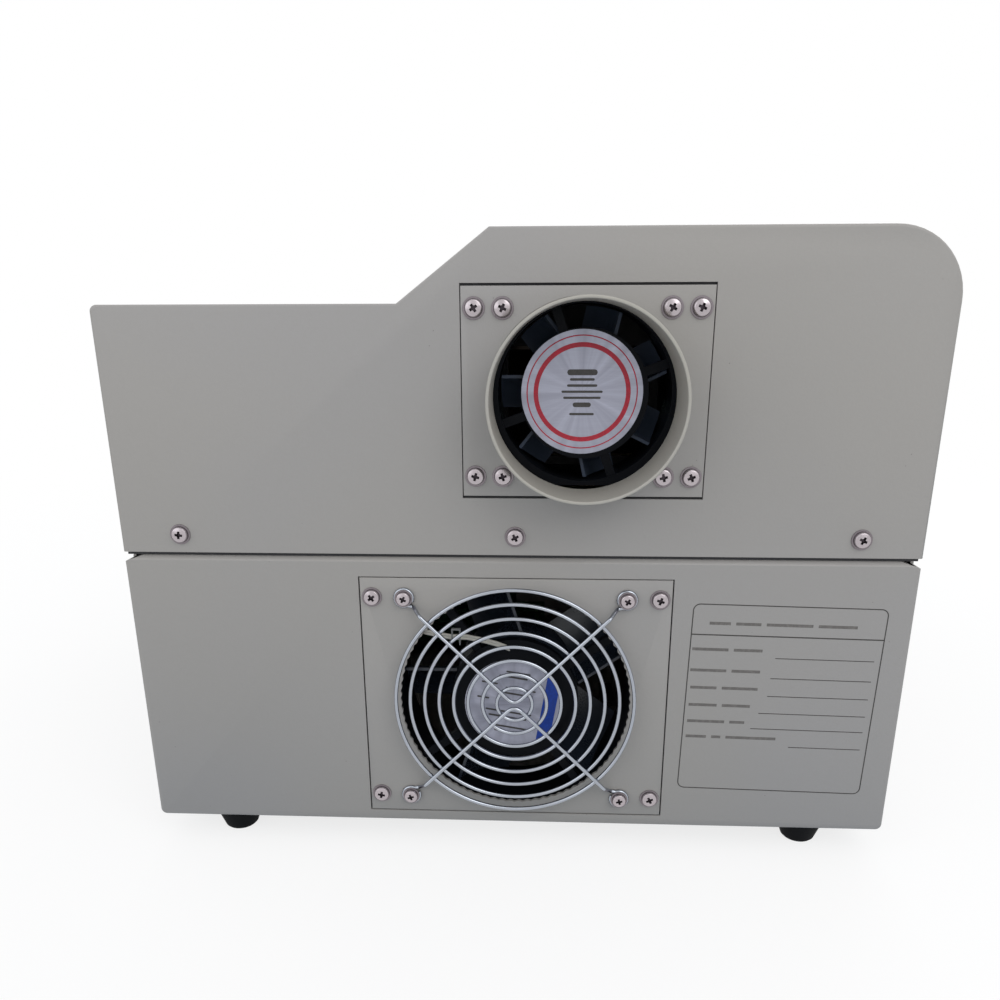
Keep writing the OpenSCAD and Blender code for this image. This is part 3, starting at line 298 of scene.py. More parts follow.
def brushed_metal(name, colour, rough=0.3, stretch=DRAWN_ON_Y, shade_from=None):
    """Metal with fine drawn lines along one axis."""
    f = Finish(name, Metallic=1.0)
    lines = f.streaks(stretch)
    # Past the given Y the tone turns near-black: painted shade of the chamber's dark inside, partly
    # heat tint.
    return f.skin(scorched_and_shaded(f, f.tones(colour, lines, 0.86, 1.06), shade_from),
                  lines * 0.16 + f.around(f.noise(9, 2), rough, 0.05), lines, 0.00003)


def plated_metal(name, colour, rough=0.14, shade_colour=None):
    """Bright plating over drawn wire or turned parts, dulled a little in patches.

    With a shade colour, painted shade darkens the places whose mesh attribute "sunk" is set."""
    f = Finish(name, Metallic=1.0)
    patches = f.noise(160, 3)
    pits = f.ramp(f.noise(1400, 2), 0.66, 0.74)
    tone = f.mix(pits * 0.4, f.tones(colour, patches, 0.88, 1.05), shade(colour, 0.5))
    level = f.ramp(patches, 0.3, 0.75, rough, rough + 0.16) + pits * 0.2
    if shade_colour:
        # Painted shade: the shade colour where a face is marked sunk, which also dulls it.
        sunk = f.node("ShaderNodeAttribute", {"attribute_name": "sunk"}, out="Fac")
        tone = f.mix(sunk, tone, shade_colour)
        level = level + sunk * 0.3
    return f.skin(tone, level, patches, 0.00006)


def moulded(name, colour, rough=0.45, grain=1500.0, depth=0.00004, film=0.03, specular=0.5,
            coat=0.0):
    """Moulded plastic or rubber with a fine spark-eroded grain and a film of dust."""
    f = Finish(name, Specular_IOR_Level=specular, Coat_Weight=coat)
    skin = f.noise(grain, 2, 0.6)
    clouds = f.noise(14, 2)
    dust = f.ramp(f.noise(90, 4, 0.7), 0.55, 0.8)
    tone = f.mix(dust * film, f.tones(colour, clouds, 0.88, 1.12), linear(150, 146, 138))
    return f.skin(tone, skin * 0.12 + f.around(clouds, rough, 0.06), skin, depth)


def tinted_glass(name):
    """Dark heat-proof glass with faint wipe marks."""
    f = Finish(name, Transmission_Weight=0.9, IOR=1.5)
    marks = f.streaks((40, 40, 220), turn=(0, 0.5, 0))
    return f.skin(f.tones(linear(118, 128, 128), marks, 0.95, 1.05),
                  f.ramp(marks, 0.45, 0.75, 0.02, 0.1))


def quartz_tube(name):
    """Frosted quartz in faint bands."""
    f = Finish(name, Transmission_Weight=0.55, IOR=1.46)
    bands = f.streaks((30, 260, 30), 2, 0.5)
    return f.skin(f.tones(linear(232, 228, 216), bands, 0.92, 1.03),
                  f.around(bands, 0.31, 0.09), f.noise(600, 2), 0.00004)


def mirror_sheet(name):
    """Polished aluminium with a slight roll wave."""
    f = Finish(name, Metallic=1.0)
    roll = f.streaks((18, 90, 18), 2, 0.5)
    stain = f.ramp(f.noise(22, 3), 0.5, 0.75)
    tone = f.mix(stain * 0.35, linear(226, 227, 230), linear(196, 176, 140))
    # Near-black past y 0.115: painted shade of the chamber's dark inside, partly heat tint.
    return f.skin(scorched_and_shaded(f, tone, 0.115), f.around(roll, 0.11, 0.05) + stain * 0.1,
                  roll, 0.0004, 0.6)


def fired_ceramic(name):
    """Unglazed ceramic with dark specks."""
    f = Finish(name)
    specks = f.ramp(f.cells(700), 0.08, 0.2, 1.0, 0.0) * f.ramp(f.noise(240, 1), 0.5, 0.6)
    tone = f.tones(linear(228, 222, 208), f.noise(60, 3), 0.93, 1.04)
    return f.skin(f.mix(specks * 0.7, tone, linear(120, 96, 70)),
                  f.around(f.noise(200, 2), 0.69, 0.09), f.noise(900, 3), 0.0001)


def fibre_wool(name):
    """Pressed ceramic wool with tangled fibres."""
    f = Finish(name)
    tangle = f.streaks((300, 60, 900), 4, 0.7, (0.4, 0.2, 0.7)).most(
        f.streaks((80, 800, 260), 4, 0.7, (1.2, 0.9, 0.1)))
    tone = f.tones(linear(226, 214, 182), tangle, 0.78, 1.06)
    bent = f.ramp(f.noise(40, 2), 0.45, 0.7)
    return f.skin(f.mix(bent * 0.3, tone, linear(196, 176, 136)), tangle * 0.1 + 0.82,
                  tangle, 0.0006)


def circuit_board(name):
    """Green solder mask with tracks and plated holes."""
    f = Finish(name)
    cell = 0.0085
    lane = f.stripes(f.axis("X") / cell, 0.28, 0.32) * f.ramp(f.noise(90, 0), 0.48, 0.5)
    cross = f.stripes(f.axis("Y") / cell, 0.3, 0.34) * f.ramp(f.noise(70, 0), 0.5, 0.52)
    pads = f.ramp(f.cells(230), 0.1, 0.14, 1.0, 0.0) * f.ramp(f.noise(120, 0), 0.54, 0.56)
    track = lane.most(cross)
    tone = f.mix(track * 0.75, linear(18, 78, 44), linear(40, 118, 66))
    return f.skin(f.mix(pads, tone, linear(196, 190, 170)), 0.52 - track * 0.12 - pads * 0.15,
                  track + pads, 0.00006, Metallic=pads * 0.8)


def wound_core(name, low, high):
    """Laminated steel, with taped copper winding where the coil stands out of it."""
    f = Finish(name)
    y, z = f.axis("Y"), f.axis("Z")
    coil = f.ramp(abs(y - (low.y + high.y) / 2), 0.0162, 0.0166)
    sheets = f.stripes(y / 0.0007, 0.3, 0.45)
    turns = f.stripes(z / 0.0012, 0.15, 0.4)
    tone = f.mix(coil, f.mix(sheets, linear(74, 70, 68), linear(112, 108, 104)),
                 f.mix(turns, linear(196, 150, 40), linear(226, 186, 74)))
    return f.skin(tone, 0.42 + f.noise(120, 2) * 0.15, sheets * (1 - coil) + turns * coil,
                  0.00012, Metallic=0.85 - coil * 0.85)


def pad_cloth(name, colour):
    """Braided glass-fibre seal."""
    f = Finish(name)
    x, z = f.axis("X"), f.axis("Z")
    pitch = 0.0016
    braid = f.stripes((x + z) / pitch, 0.1, 0.4).least(f.stripes((x - z) / pitch, 0.1, 0.4))
    return f.skin(f.tones(colour, braid, 1.25, 0.7), braid * 0.1 + 0.78, 1 - braid, 0.0003)


def foil_sticker(name, colour, at):
    """Silver foil label whose rolled grain catches the light in rays, painted as lighter and darker
    rays in its colour: painted sheen.
    """
    f = Finish(name, Metallic=0.55)
    angle = f.node("ShaderNodeMath", {"operation": "ARCTAN2"},
                   {0: f.axis("Z") - at.z, 1: f.axis("X") - at.x})
    sheen_rays = f.node("ShaderNodeTexNoise", {"noise_dimensions": "1D"},
                    {"W": angle, "Scale": 3.5, "Detail": 2.0}, out=0)
    grain = f.streaks((80, 80, 1500))
    # Painted sheen: the colour runs from 0.68 to 1.3 times as bright in rays round the middle.
    tone = f.tones(colour, sheen_rays, 0.68, 1.3)
    return f.skin(f.mix(f.ramp(grain, 0.3, 0.7) * 0.3, tone, shade(colour, 0.8)),
                  f.around(sheen_rays, 0.37, -0.07), grain, 0.00003)


def printed_ink(name, colour, rough=0.5):
    """Screen-printed ink, a little thin in places."""
    f = Finish(name)
    thin = f.ramp(f.noise(520, 3, 0.7), 0.42, 0.7)
    return f.skin(f.tones(colour, thin, 0.9, 1.25), thin * 0.1 + rough, thin, 0.00003)


def lit_display(name, low, high):
    """A dark display with a grid and a plain temperature curve."""
    f = Finish(name, Coat_Weight=0.6, Coat_Roughness=0.06, Emission_Strength=0.5)
    hidden = Vector((0.007, 0, 0.006))       # the frame round the visible face
    low, high = low + hidden, high - hidden
    size = high - low
    u = (f.axis("X") - low.x) / size.x
    v = (f.axis("Z") - low.z) / size.z
    grid = f.stripes(u * 14, 0.46, 0.48).most(f.stripes(v * 8, 0.45, 0.475))
    rise = f.ramp(u, 0.14, 0.32, 0.18, 0.45) + f.ramp(u, 0.48, 0.66, 0.0, 0.34)
    curve = rise - f.ramp(u, 0.72, 0.92, 0.0, 0.5)
    line = f.ramp(abs(v - curve), 0.012, 0.03, 1.0, 0.0) * (u > 0.06) * (u < 0.94)
    face = f.mix(grid * 0.35, linear(24, 44, 66), linear(60, 96, 120))
    lit = f.mix(line, linear(6, 12, 20), linear(240, 180, 60))
    return f.skin(f.mix(line, face, linear(240, 196, 80)),
                  f.around(f.noise(300, 1), 0.24, 0.04), Emission_Color=lit)


def recipes(tint):
    """For each slot of the record and each finish of a piece: what makes it, and its values."""
    return {
        "beige_paint": (powder_coat, "Beige powder coat", tint.coat),
        "collar_coat": (powder_coat, "Collar coat", tinted(tint.coat, (1.2, 1.2, 1.12))),
        # A real black coat, chosen so that the gaps round the plates show dark: painted shade.
        "black_steel": (powder_coat, "Black coated steel", linear(34, 34, 37), 900),
        "zinc_sheet": (zinc_sheet, "Zinc sheet", linear(176, 180, 184)),
        "stainless": (brushed_metal, "Stainless steel", linear(196, 196, 194), 0.3),
        "heat_sink": (brushed_metal, "Sawn aluminium", linear(190, 192, 195), 0.36,
                      (12, 600, 900)),
        "handle_steel": (brushed_metal, "Brushed handle", linear(200, 200, 198), 0.28,
                         DRAWN_ON_X),
        # The last value of these two steels is the Y past which they turn near-black: painted shade
        # of the chamber's dark inside, partly heat tint.
        "baked_steel": (brushed_metal, "Heat-tinted steel", linear(96, 86, 76), 0.46,
                        DRAWN_ON_Y, 0.112),
        "drawer_steel": (brushed_metal, "Drawer steel", linear(188, 186, 182), 0.32,
                         DRAWN_ON_Y, 0.108),
        # The screws' second colour is painted shade for their recess, creases and slopes.
        "screw_steel": (plated_metal, "Plated screws", linear(182, 174, 178), 0.2,
                        linear(80, 73, 79)),
        "guard_chrome": (plated_metal, "Bright wire", linear(168, 173, 182), 0.1),
        "pin_brass": (plated_metal, "Brass pins", linear(206, 176, 104), 0.22),
        "coil_wire": (plated_metal, "Coil wire", linear(120, 104, 92), 0.4),
        "black_plastic": (moulded, "Black fan plastic", tint.fan, 0.28, 1500, 0.00003, 0.008,
                          0.06),
        # The lower rotor is the blade plastic at a third of its brightness: a shaded copy, painted
        # shade.
        "fan_gloss_shaded": (moulded, "Glossy fan plastic", shade(tint.blades, 0.34), 0.2, 1500,
                      0.00002, 0.01, 0.45),
        "blade_plastic": (moulded, "Blade plastic", tint.blades, 0.3, 1500, 0.00003, 0.01, 0.2),
        "panel_plastic": (moulded, "Panel plastic", linear(44, 46, 51), 0.5, 900, 0.00008),
        "key_plastic": (moulded, "Key plastic", linear(206, 204, 196), 0.46),
        "module_plastic": (moulded, "Module plastic", linear(212, 209, 200), 0.44),
        "lead_cover": (moulded, "Lead cover", linear(176, 174, 166), 0.5),
        "clip_grey": (moulded, "Clip", linear(112, 114, 114), 0.4),
        "rocker_red": (moulded, "Red rocker", linear(160, 22, 20), 0.3, 900, 0.00002, 0.03, 0.5,
                       0.3),
        "foot_rubber": (moulded, "Foot rubber", linear(9, 11, 14), 0.72, 1200, 0.0001, 0.006,
                        0.12),
        "seal_rubber": (pad_cloth, "Seal braid", linear(120, 116, 108)),
        "upper_foil": (foil_sticker, "Upper foil", tint.foil, UPPER_LABEL),
        "lower_foil": (foil_sticker, "Lower foil", tint.foil, LOWER_LABEL),
        "window_glass": (tinted_glass, "Window glass"),
        "quartz": (quartz_tube, "Quartz tube"),
        "reflector_mirror": (mirror_sheet, "Reflector sheet"),
        "ceramic": (fired_ceramic, "Ceramic cap"),
        "ceramic_wool": (fibre_wool, "Ceramic wool"),
        "circuit_board": (circuit_board, "Circuit board"),
        "core_steel": (wound_core, "Transformer core", *box("transformer")),
        "display": (lit_display, "Display", *box("display_module")),
        "key_ink": (printed_ink, "Key ink", linear(52, 54, 60)),
        "ring_ink": (printed_ink, "Red ink", tint.ring),
        "band_ink": (printed_ink, "Blue ink", tint.band),
        "bar_ink": (printed_ink, "Dark ink", tint.ink),
        "frame_ink": (printed_ink, "Frame ink", tint.ink, 0.45),
        "caption_ink": (printed_ink, "Caption ink", linear(104, 101, 98), 0.45),
    }


_made = {}


def finish(name):
    """The material of that name in the recipes, made once."""
    if name not in _made:
        make, *values = recipes(bpy.context.scene.oven_colours)[name]
        _made[name] = make(*values)
    return _made[name]


# Meshes

def linked(name, data):
    """A new object in the scene."""
    thing = bpy.data.objects.new(name, data)
    bpy.context.scene.collection.objects.link(thing)
    return thing


def paint(mesh, coat):
    mesh.materials.clear()
    mesh.materials.append(finish(coat))


def add_piece(name, mesh, coat, slot=None, body="casing", replaced=None):
    """Links a finished mesh, paints it, hangs it on its body and hides the node it replaces."""
    piece = linked(name, mesh)
    paint(mesh, coat)
    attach(piece, body)
    slot or coat
    if replaced:
        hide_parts(replaced)


def smoothed(mesh, sharp):
    mesh.shade_smooth()
    mesh.set_sharp_from_angle(angle=math.radians(sharp))
    return mesh


def finished_mesh(bm, name, sharp=25.0):
    mesh = bpy.data.meshes.new(name)
    bm.to_mesh(mesh)
    bm.free()
    return smoothed(mesh, sharp)


def applied(thing, modifier):
    """The thing's mesh as its modifier makes it; the modifier is removed."""
    bpy.context.view_layer.update()
    graph = bpy.context.evaluated_depsgraph_get()
    mesh = bpy.data.meshes.new_from_object(thing.evaluated_get(graph))
    thing.modifiers.remove(modifier)
    return mesh


def merged_copy(node):
    """The node's mesh with its loose triangles joined and flat faces made whole."""
    bm = bmesh.new()
    bm.from_mesh(frame["nodes"][node].data)
    bmesh.ops.remove_doubles(bm, verts=bm.verts, dist=SAME_VERTEX)
    bmesh.ops.dissolve_limit(bm, angle_limit=math.radians(0.4), verts=bm.verts, edges=bm.edges)
    return bm


def put_in_order(bm):
    """Sorts vertices and faces by place, since a bevel's own order changes between runs."""
    for items, place in ((bm.verts, lambda vert: vert.co),
                         (bm.faces, lambda face: face.calc_center_median())):
        ranked = sorted(items, key=lambda item: tuple(place(item)))
        rank = {item: number for number, item in enumerate(ranked)}
        items.sort(key=rank.get)


def round_edges(bm, wanted, width, segments=2):
    """Bevels the outward edges that wanted(middle, edge) picks."""
    picked = [edge for edge in bm.edges
              if len(edge.link_faces) == 2
              and edge.calc_face_angle_signed(0) >= math.radians(40)
              and wanted((edge.verts[0].co + edge.verts[1].co) / 2, edge)]
    bmesh.ops.bevel(bm, geom=picked, offset=width, offset_type="OFFSET", segments=segments,
                    profile=0.5, affect="EDGES", clamp_overlap=False)
    put_in_order(bm)


def circle_points(x, z, radius, count=72, start=0.0):
    return [(x + radius * math.cos(start + TURN * i / count),
             z + radius * math.sin(start + TURN * i / count)) for i in range(count)]


def rounded_points(x0, x1, z0, z1, radius, steps=6):
    """A rectangle's outline with rounded corners, counterclockwise."""
    points = []
    corners = [(x1 - radius, z0 + radius, -90), (x1 - radius, z1 - radius, 0),
               (x0 + radius, z1 - radius, 90), (x0 + radius, z0 + radius, 180)]
    for cx, cz, first in corners:
        for i in range(steps + 1):
            angle = math.radians(first + 90 * i / steps)
            points.append((cx + radius * math.cos(angle), cz + radius * math.sin(angle)))
    return points


def lathe(profile, sides, matrix):
    """A turned solid from (radius, height) pairs; it is closed where the radius is 0."""
    bm = bmesh.new()
    rows = [[bm.verts.new((x, y, height))
             for x, y in circle_points(0, 0, radius, sides if radius else 1)]
            for radius, height in profile]
    for lower, upper in zip(rows, rows[1:]):
        for i in range(sides):
            j = (i + 1) % sides
            corners = dict.fromkeys((lower[i % len(lower)], lower[j % len(lower)],
                                     upper[j % len(upper)], upper[i % len(upper)]))
            if len(corners) > 2:
                bm.faces.new(list(corners))
    bmesh.ops.recalc_face_normals(bm, faces=bm.faces)
    bmesh.ops.transform(bm, matrix=matrix, verts=bm.verts)
    return bm


def flat_shape(bm, outline, holes, y0, y1):
    """A plate between y0 and y1 from an outline in x and z, with matching rings as holes."""
    def ring(points, y):
        return [bm.verts.new((x, y, z)) for x, z in points]
    front, back = ring(outline, y1), ring(outline, y0)
    inner = [(ring(hole, y1), ring(hole, y0)) for hole in holes]
    for i in range(len(outline)):
        j = (i + 1) % len(outline)
        bm.faces.new((front[i], front[j], back[j], back[i]))
        for f_ring, b_ring in inner:
            bm.faces.new((f_ring[j], f_ring[i], b_ring[i], b_ring[j]))
            bm.faces.new((front[i], f_ring[i], f_ring[j], front[j]))
            bm.faces.new((back[j], b_ring[j], b_ring[i], back[i]))
    if not inner:
        bm.faces.new(front[::-1])
        bm.faces.new(back)
    bmesh.ops.recalc_face_normals(bm, faces=bm.faces)


def add_flat(name, coat, slot, thick, shapes, body="casing"):
    """A piece of flat shapes, each given as its back's y, its outline and its holes."""
    bm = bmesh.new()
    for y, outline, *holes in shapes:
        flat_shape(bm, outline, holes, y, y + thick)
    add_piece(name, finished_mesh(bm, name), coat, slot, body)


def filleted(points, radius, steps=6):
    """A path through the points with an arc in place of each inner corner."""
    points = [Vector(p) for p in points]
    path = [points[0]]
    for before, corner, after in zip(points, points[1:], points[2:]):
        back, on = before - corner, after - corner
        reach = min(radius / math.tan(back.angle(on) / 2), back.length * 0.45, on.length * 0.45)
        start, end = corner + back.normalized() * reach, corner + on.normalized() * reach
        for i in range(steps + 1):
            t = i / steps
            path.append(start * (1 - t) ** 2 + corner * 2 * t * (1 - t) + end * t ** 2)
    return path + [points[-1]]


def curve_data(name, paths):
    """A poly spline through the points of each path."""
    curve = bpy.data.curves.new(name, "CURVE")
    curve.dimensions = "3D"
    for points in paths:
        spline = curve.splines.new("POLY")
        spline.points.add(len(points) - 1)
        for item, point in zip(spline.points, points):
            item.co = (*point, 1)
    return curve


def point_mesh(name, places, turns=()):
    """Points, each with its turn as Euler angles."""
    mesh = bpy.data.meshes.new(name)
    mesh.from_pydata([tuple(place) for place in places], [], [])
    for item, turn in zip(mesh.attributes.new("turn", "FLOAT_VECTOR", "POINT").data, turns):
        item.vector = turn
    return mesh


# Geometry Nodes

class Pattern(Tree):
    """A geometry tree with named inputs; it ends in Realize Instances and Set Material."""

    def __init__(self, name, **inputs):
        super().__init__(bpy.data.node_groups.new(name, "GeometryNodeTree"))
        face = self.tree.interface
        for label, kind in dict(Geometry="Geometry", **inputs, Material="Material").items():
            face.new_socket(label, in_out="INPUT", socket_type="NodeSocket" + kind)
        face.new_socket("Geometry", in_out="OUTPUT", socket_type="NodeSocketGeometry")
        self.entry = self.node("NodeGroupInput").socket.node

    def given(self, label):
        return Wire(self, self.entry.outputs[label])

    def instances(self, points, part, turn, scale=(1, 1, 1)):
        return self.node("GeometryNodeInstanceOnPoints", None,
                         {"Points": points, "Instance": part, "Rotation": turn, "Scale": scale})

    def circle(self, sides, radius):
        return self.node("GeometryNodeCurvePrimitiveCircle", None,
                         {"Resolution": sides, "Radius": radius}, out="Curve")

    def round_wire(self, paths, sides):
        """Round wire along the paths, of the tree's input Radius."""
        even = self.node("GeometryNodeSetCurveRadius", None, {0: paths, "Radius": 1.0})
        return self.node("GeometryNodeCurveToMesh", None,
                         {"Curve": even, "Profile Curve": self.circle(sides, self.given("Radius")),
                          "Fill Caps": True})

    def realized(self, geometry):
        return self.node("GeometryNodeRealizeInstances", None, {0: geometry})

    def close(self, geometry):
        painted = self.node("GeometryNodeSetMaterial", None,
                            {0: self.realized(geometry), "Material": self.given("Material")})
        self.node("NodeGroupOutput", None, {0: painted})
        return self

    def grow(self, name, source, coat, **values):
        """Runs the tree on a source mesh or curve and gives a plain mesh."""
        start = linked(name + "_start", source)
        modifier = start.modifiers.new("pattern", "NODES")
        modifier.node_group = self.tree
        values["Material"] = finish(coat)
        for item in self.tree.interface.items_tree:
            if item.in_out == "INPUT" and item.name in values:
                modifier[item.identifier] = values[item.name]
        mesh = applied(start, modifier)
        mesh.name = name
        bpy.data.objects.remove(start)
        mesh.shade_smooth()
        return mesh


def scatter_pattern():
    """Sets one object on each point, turned by the point's attribute."""
    t = Pattern("Set on points", Object="Object", Scale="Float")
    part = t.node("GeometryNodeObjectInfo", {"transform_space": "ORIGINAL"},
                  {"Object": t.given("Object")}, out="Geometry")
    turn = t.node("GeometryNodeInputNamedAttribute", {"data_type": "FLOAT_VECTOR"},
                  {"Name": "turn"}, out="Attribute")
    return t.close(t.instances(t.given("Geometry"), part, turn, t.given("Scale")))


def wire_pattern():
    """Turns paths into round wire."""
    t = Pattern("Round wire", Radius="Float", Sides="Int")
    return t.close(t.round_wire(t.given("Geometry"), t.given("Sides")))


def ring_pattern():
    """Adds even rings round the y axis at a place to the wires, and makes all of it round."""
    t = Pattern("Ringed guard", Rings="Int", First="Float", Last="Float", Place="Vector",
                Radius="Float", Sides="Int")
    count, first = t.given("Rings"), t.given("First")
    line = t.node("GeometryNodeMeshLine", {"mode": "OFFSET"},
                  {"Count": count, "Start Location": t.given("Place"), "Offset": (0, 0, 0)})
    number = t.node("GeometryNodeInputIndex")
    radius = first + number * (t.given("Last") - first) / (count - 1)
    rings = t.realized(t.instances(line, t.circle(96, 1.0), (math.pi / 2, 0, 0), radius))
    wires = t.node("GeometryNodeJoinGeometry", None, {0: [rings, t.given("Geometry")]})
    return t.close(t.round_wire(wires, t.given("Sides")))


def coil_pattern():
    """A wound wire along y from each point."""
    t = Pattern("Heater coil", Turns="Float", Length="Float", Coil="Float", Radius="Float")
    coil = t.node("GeometryNodeCurveSpiral", None,
                  {"Resolution": 12, "Rotations": t.given("Turns"),
                   "Start Radius": t.given("Coil"), "End Radius": t.given("Coil"),
                   "Height": t.given("Length"), "Reverse": False})
    return t.close(t.instances(t.given("Geometry"), t.round_wire(coil, 4),
                               (-math.pi / 2, 0, 0)))


# Settings that a user would change

def size_prop(label, text, default, high=1.0):
    return FloatProperty(name=label, description=text, default=default, min=0.0, max=high,
                         unit="LENGTH", subtype="DISTANCE", precision=5)


def count_prop(label, text, default, low, high):
    return IntProperty(name=label, description=text, default=default, min=low, max=high)


def colour_prop(label, text, *levels):
    return FloatVectorProperty(name=label, description=text, default=linear(*levels), size=4,
                               min=0, max=1, subtype="COLOR")


class OvenColours(bpy.types.PropertyGroup):
    coat: colour_prop("Coat", "Powder coat of both casings", 159, 156, 152)
    fan: colour_prop("Fan plastic", "Plastic of both fan frames", 13, 15, 19)
    blades: colour_prop("Blades", "Plastic of both rotors", 60, 69, 84)
    foil: colour_prop("Foil", "Foil of the round fan labels", 163, 165, 180)
    ring: colour_prop("Ring", "Printed ring of the upper fan label", 172, 28, 50)
    band: colour_prop("Band", "Printed band of the lower fan label", 4, 56, 150)
    ink: colour_prop("Ink", "Ink of the rating frame", 58, 56, 54)


class OvenSizes(bpy.types.PropertyGroup):
    fold: size_prop("Fold", "Width of the rounded edge at a fold", 0.0012, 0.002)
    ex_label: size_prop("Upper label", "Radius of the extraction fan's label", 0.0266)
    co_label: size_prop("Lower label", "Radius of the cooling fan's label", 0.0237)
    foil: size_prop("Foil", "Thickness of the round labels", 0.00015, 0.001)
    stroke: size_prop("Stroke", "Line width of the printed frame", 0.0005, 0.002)
    rings: count_prop("Rings", "Rings of the wire guard", 8, 3, 12)
    wire: size_prop("Wire", "Diameter of the guard's wire", 0.0019, 0.004)
    coil_turns: count_prop("Coil turns", "Turns of each heater coil", 64, 8, 120)


# Pieces

OWN_FINISH = {"chamber_liner": "baked_steel", "heater_rails": "baked_steel",
              "drawer_frame": "drawer_steel", "drawer_handle": "handle_steel",
              "cooling_fan_rotor": "fan_gloss_shaded", "exhaust_fan_rotor": "blade_plastic"}


class OVEN_OT_finishes(bpy.types.Operator):
    """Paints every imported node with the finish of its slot"""
    bl_idname = "oven.finishes"
    bl_label = "Finishes"

    def execute(self, context):
        for part in frame["record"]["subparts"]:
            node = part["node"]
            paint(frame["nodes"][node].data, OWN_FINISH.get(node, part["material_slot"]))
        return {"FINISHED"}


def touches(value, *levels):
    return any(abs(value - level) < NEAR for level in levels)


def on_skin(middle, edge, low, high):
    """True on an edge along the node's box, if it's long enough to bevel."""
    shortest = 0.0002
    sides = sum(touches(middle[i], low[i], high[i]) for i in range(3))
    return edge.calc_length() > shortest and sides >= 2


def on_base(middle, edge, low, high):
    """True on the tray's outer edges and on the round of a bottom corner at the rear or front."""
    reach = 0.0032
    at_corner = (touches(middle.y, low.y, high.y) and middle.z - low.z < reach
                 and min(middle.x - low.x, high.x - middle.x) < reach
                 and any(abs(f.normal.y) > 0.9 for f in edge.link_faces))
    return at_corner or on_skin(middle, edge, low, high)


def on_top_fold(middle, edge, low, high):
    return touches(middle.z, high.z) and on_base(middle, edge, low, high)


def on_cover(middle, edge, low, high):
    """True on the outer outline of the upper casing at both ends, not on its cut-outs."""
    way = 1 if touches(middle.y, high.y) else -1
    skin = [f.normal for f in edge.link_faces if abs(f.normal.y) < 0.5]
    if not (skin and touches(middle.y, low.y, high.y)
            and any(f.normal.y * way > 0.9 for f in edge.link_faces)):
        return False
    height = middle.z - (low.z + high.z) / 2
    faces_out = skin[0].x * middle.x + skin[0].z * height > 0
    cut_low, cut_high = box("exhaust_plate")
    gap, screw_height, screw_side = 0.004, 0.02, 0.01
    in_cut = (cut_low.x - gap < middle.x < cut_high.x + gap
              and cut_low.z - gap < middle.z < cut_high.z + gap)
    front_low, front_high = box("drawer_front")
    in_front = (middle.y < 0 and front_low.x < middle.x < front_high.x
                and front_low.z < middle.z < front_high.z)
    at_screw = middle.z < low.z + screw_height and abs(middle.x) < high.x - screw_side
    return faces_out and not (touches(middle.z, low.z) or in_cut or in_front or at_screw)


def on_rear_rim(middle, edge, low, high):
    return touches(middle.y, high.y)


def on_plate(middle, edge, low, high):
    """True on the outline of a plate's rear face."""
    sides = middle.x - low.x, high.x - middle.x, middle.z - low.z, high.z - middle.z
    return touches(middle.y, high.y) and min(sides) < NEAR


class OVEN_OT_casings(bpy.types.Operator):
    """Makes both casings, the plates, the collar and the drawer's front with rounded folds"""
    bl_idname = "oven.casings"
    bl_label = "Casings"

    def execute(self, context):
        fold = context.scene.oven_sizes.fold
        softened, rolled = 0.0003, 0.00055
        self.folded("base_casing", "base_casing_shell", (on_top_fold, 2 * fold, 4),
                    (on_base, fold, 3))
        self.folded("cover", "cover_shell", (on_cover, fold, 3))
        self.folded("drawer_front", "drawer_front_shell", (on_skin, fold, 3), body="drawer")
        self.folded("exhaust_plate", "extraction_plate_sheet", (on_plate, softened, 3))
        self.folded("cooling_plate", "cooling_plate_sheet", (on_plate, softened, 3))
        self.folded("exhaust_collar", "collar_tube", (on_rear_rim, rolled, 3),
                    coat="collar_coat")
        return {"FINISHED"}

    @staticmethod
    def folded(node, piece, *passes, coat="beige_paint", body="casing"):
        """The node with rounded edges: each pass has a test, a width and its segments."""
        low, high = box(node)
        bm = merged_copy(node)
        for test, width, segments in passes:
            round_edges(bm, lambda middle, edge: test(middle, edge, low, high), width, segments)
        add_piece(piece, finished_mesh(bm, piece), coat, "beige_paint", body, node)


def cross_cutter(radius):
    """Two tapered arms and the square between them, which cut a cross recess."""
    bm = bmesh.new()
    bottom, top, taper = HEAD_HEIGHT * 0.3, HEAD_HEIGHT * 1.2, 0.62
    arm, square = (0.42, 0.12), (0.22, 0.22)
    for turn, (wide, slim) in ((0, arm), (math.pi / 2, arm), (math.pi / 4, square)):
        x, y = radius * wide, radius * slim
        apart = turn * 1e-6          # keeps the cutters' ends out of one plane
        corners = [bm.verts.new(Matrix.Rotation(turn, 3, "Z")
                                @ Vector((x * sx * k, y * sy, z + apart)))
                   for z, k in ((bottom, taper), (top, 1.0))
                   for sx, sy in ((-1, -1), (1, -1), (1, 1), (-1, 1))]
        for face in ("3210", "4567", "0154", "1265", "2376", "3047"):
            bm.faces.new([corners[int(i)] for i in face])
    return bm


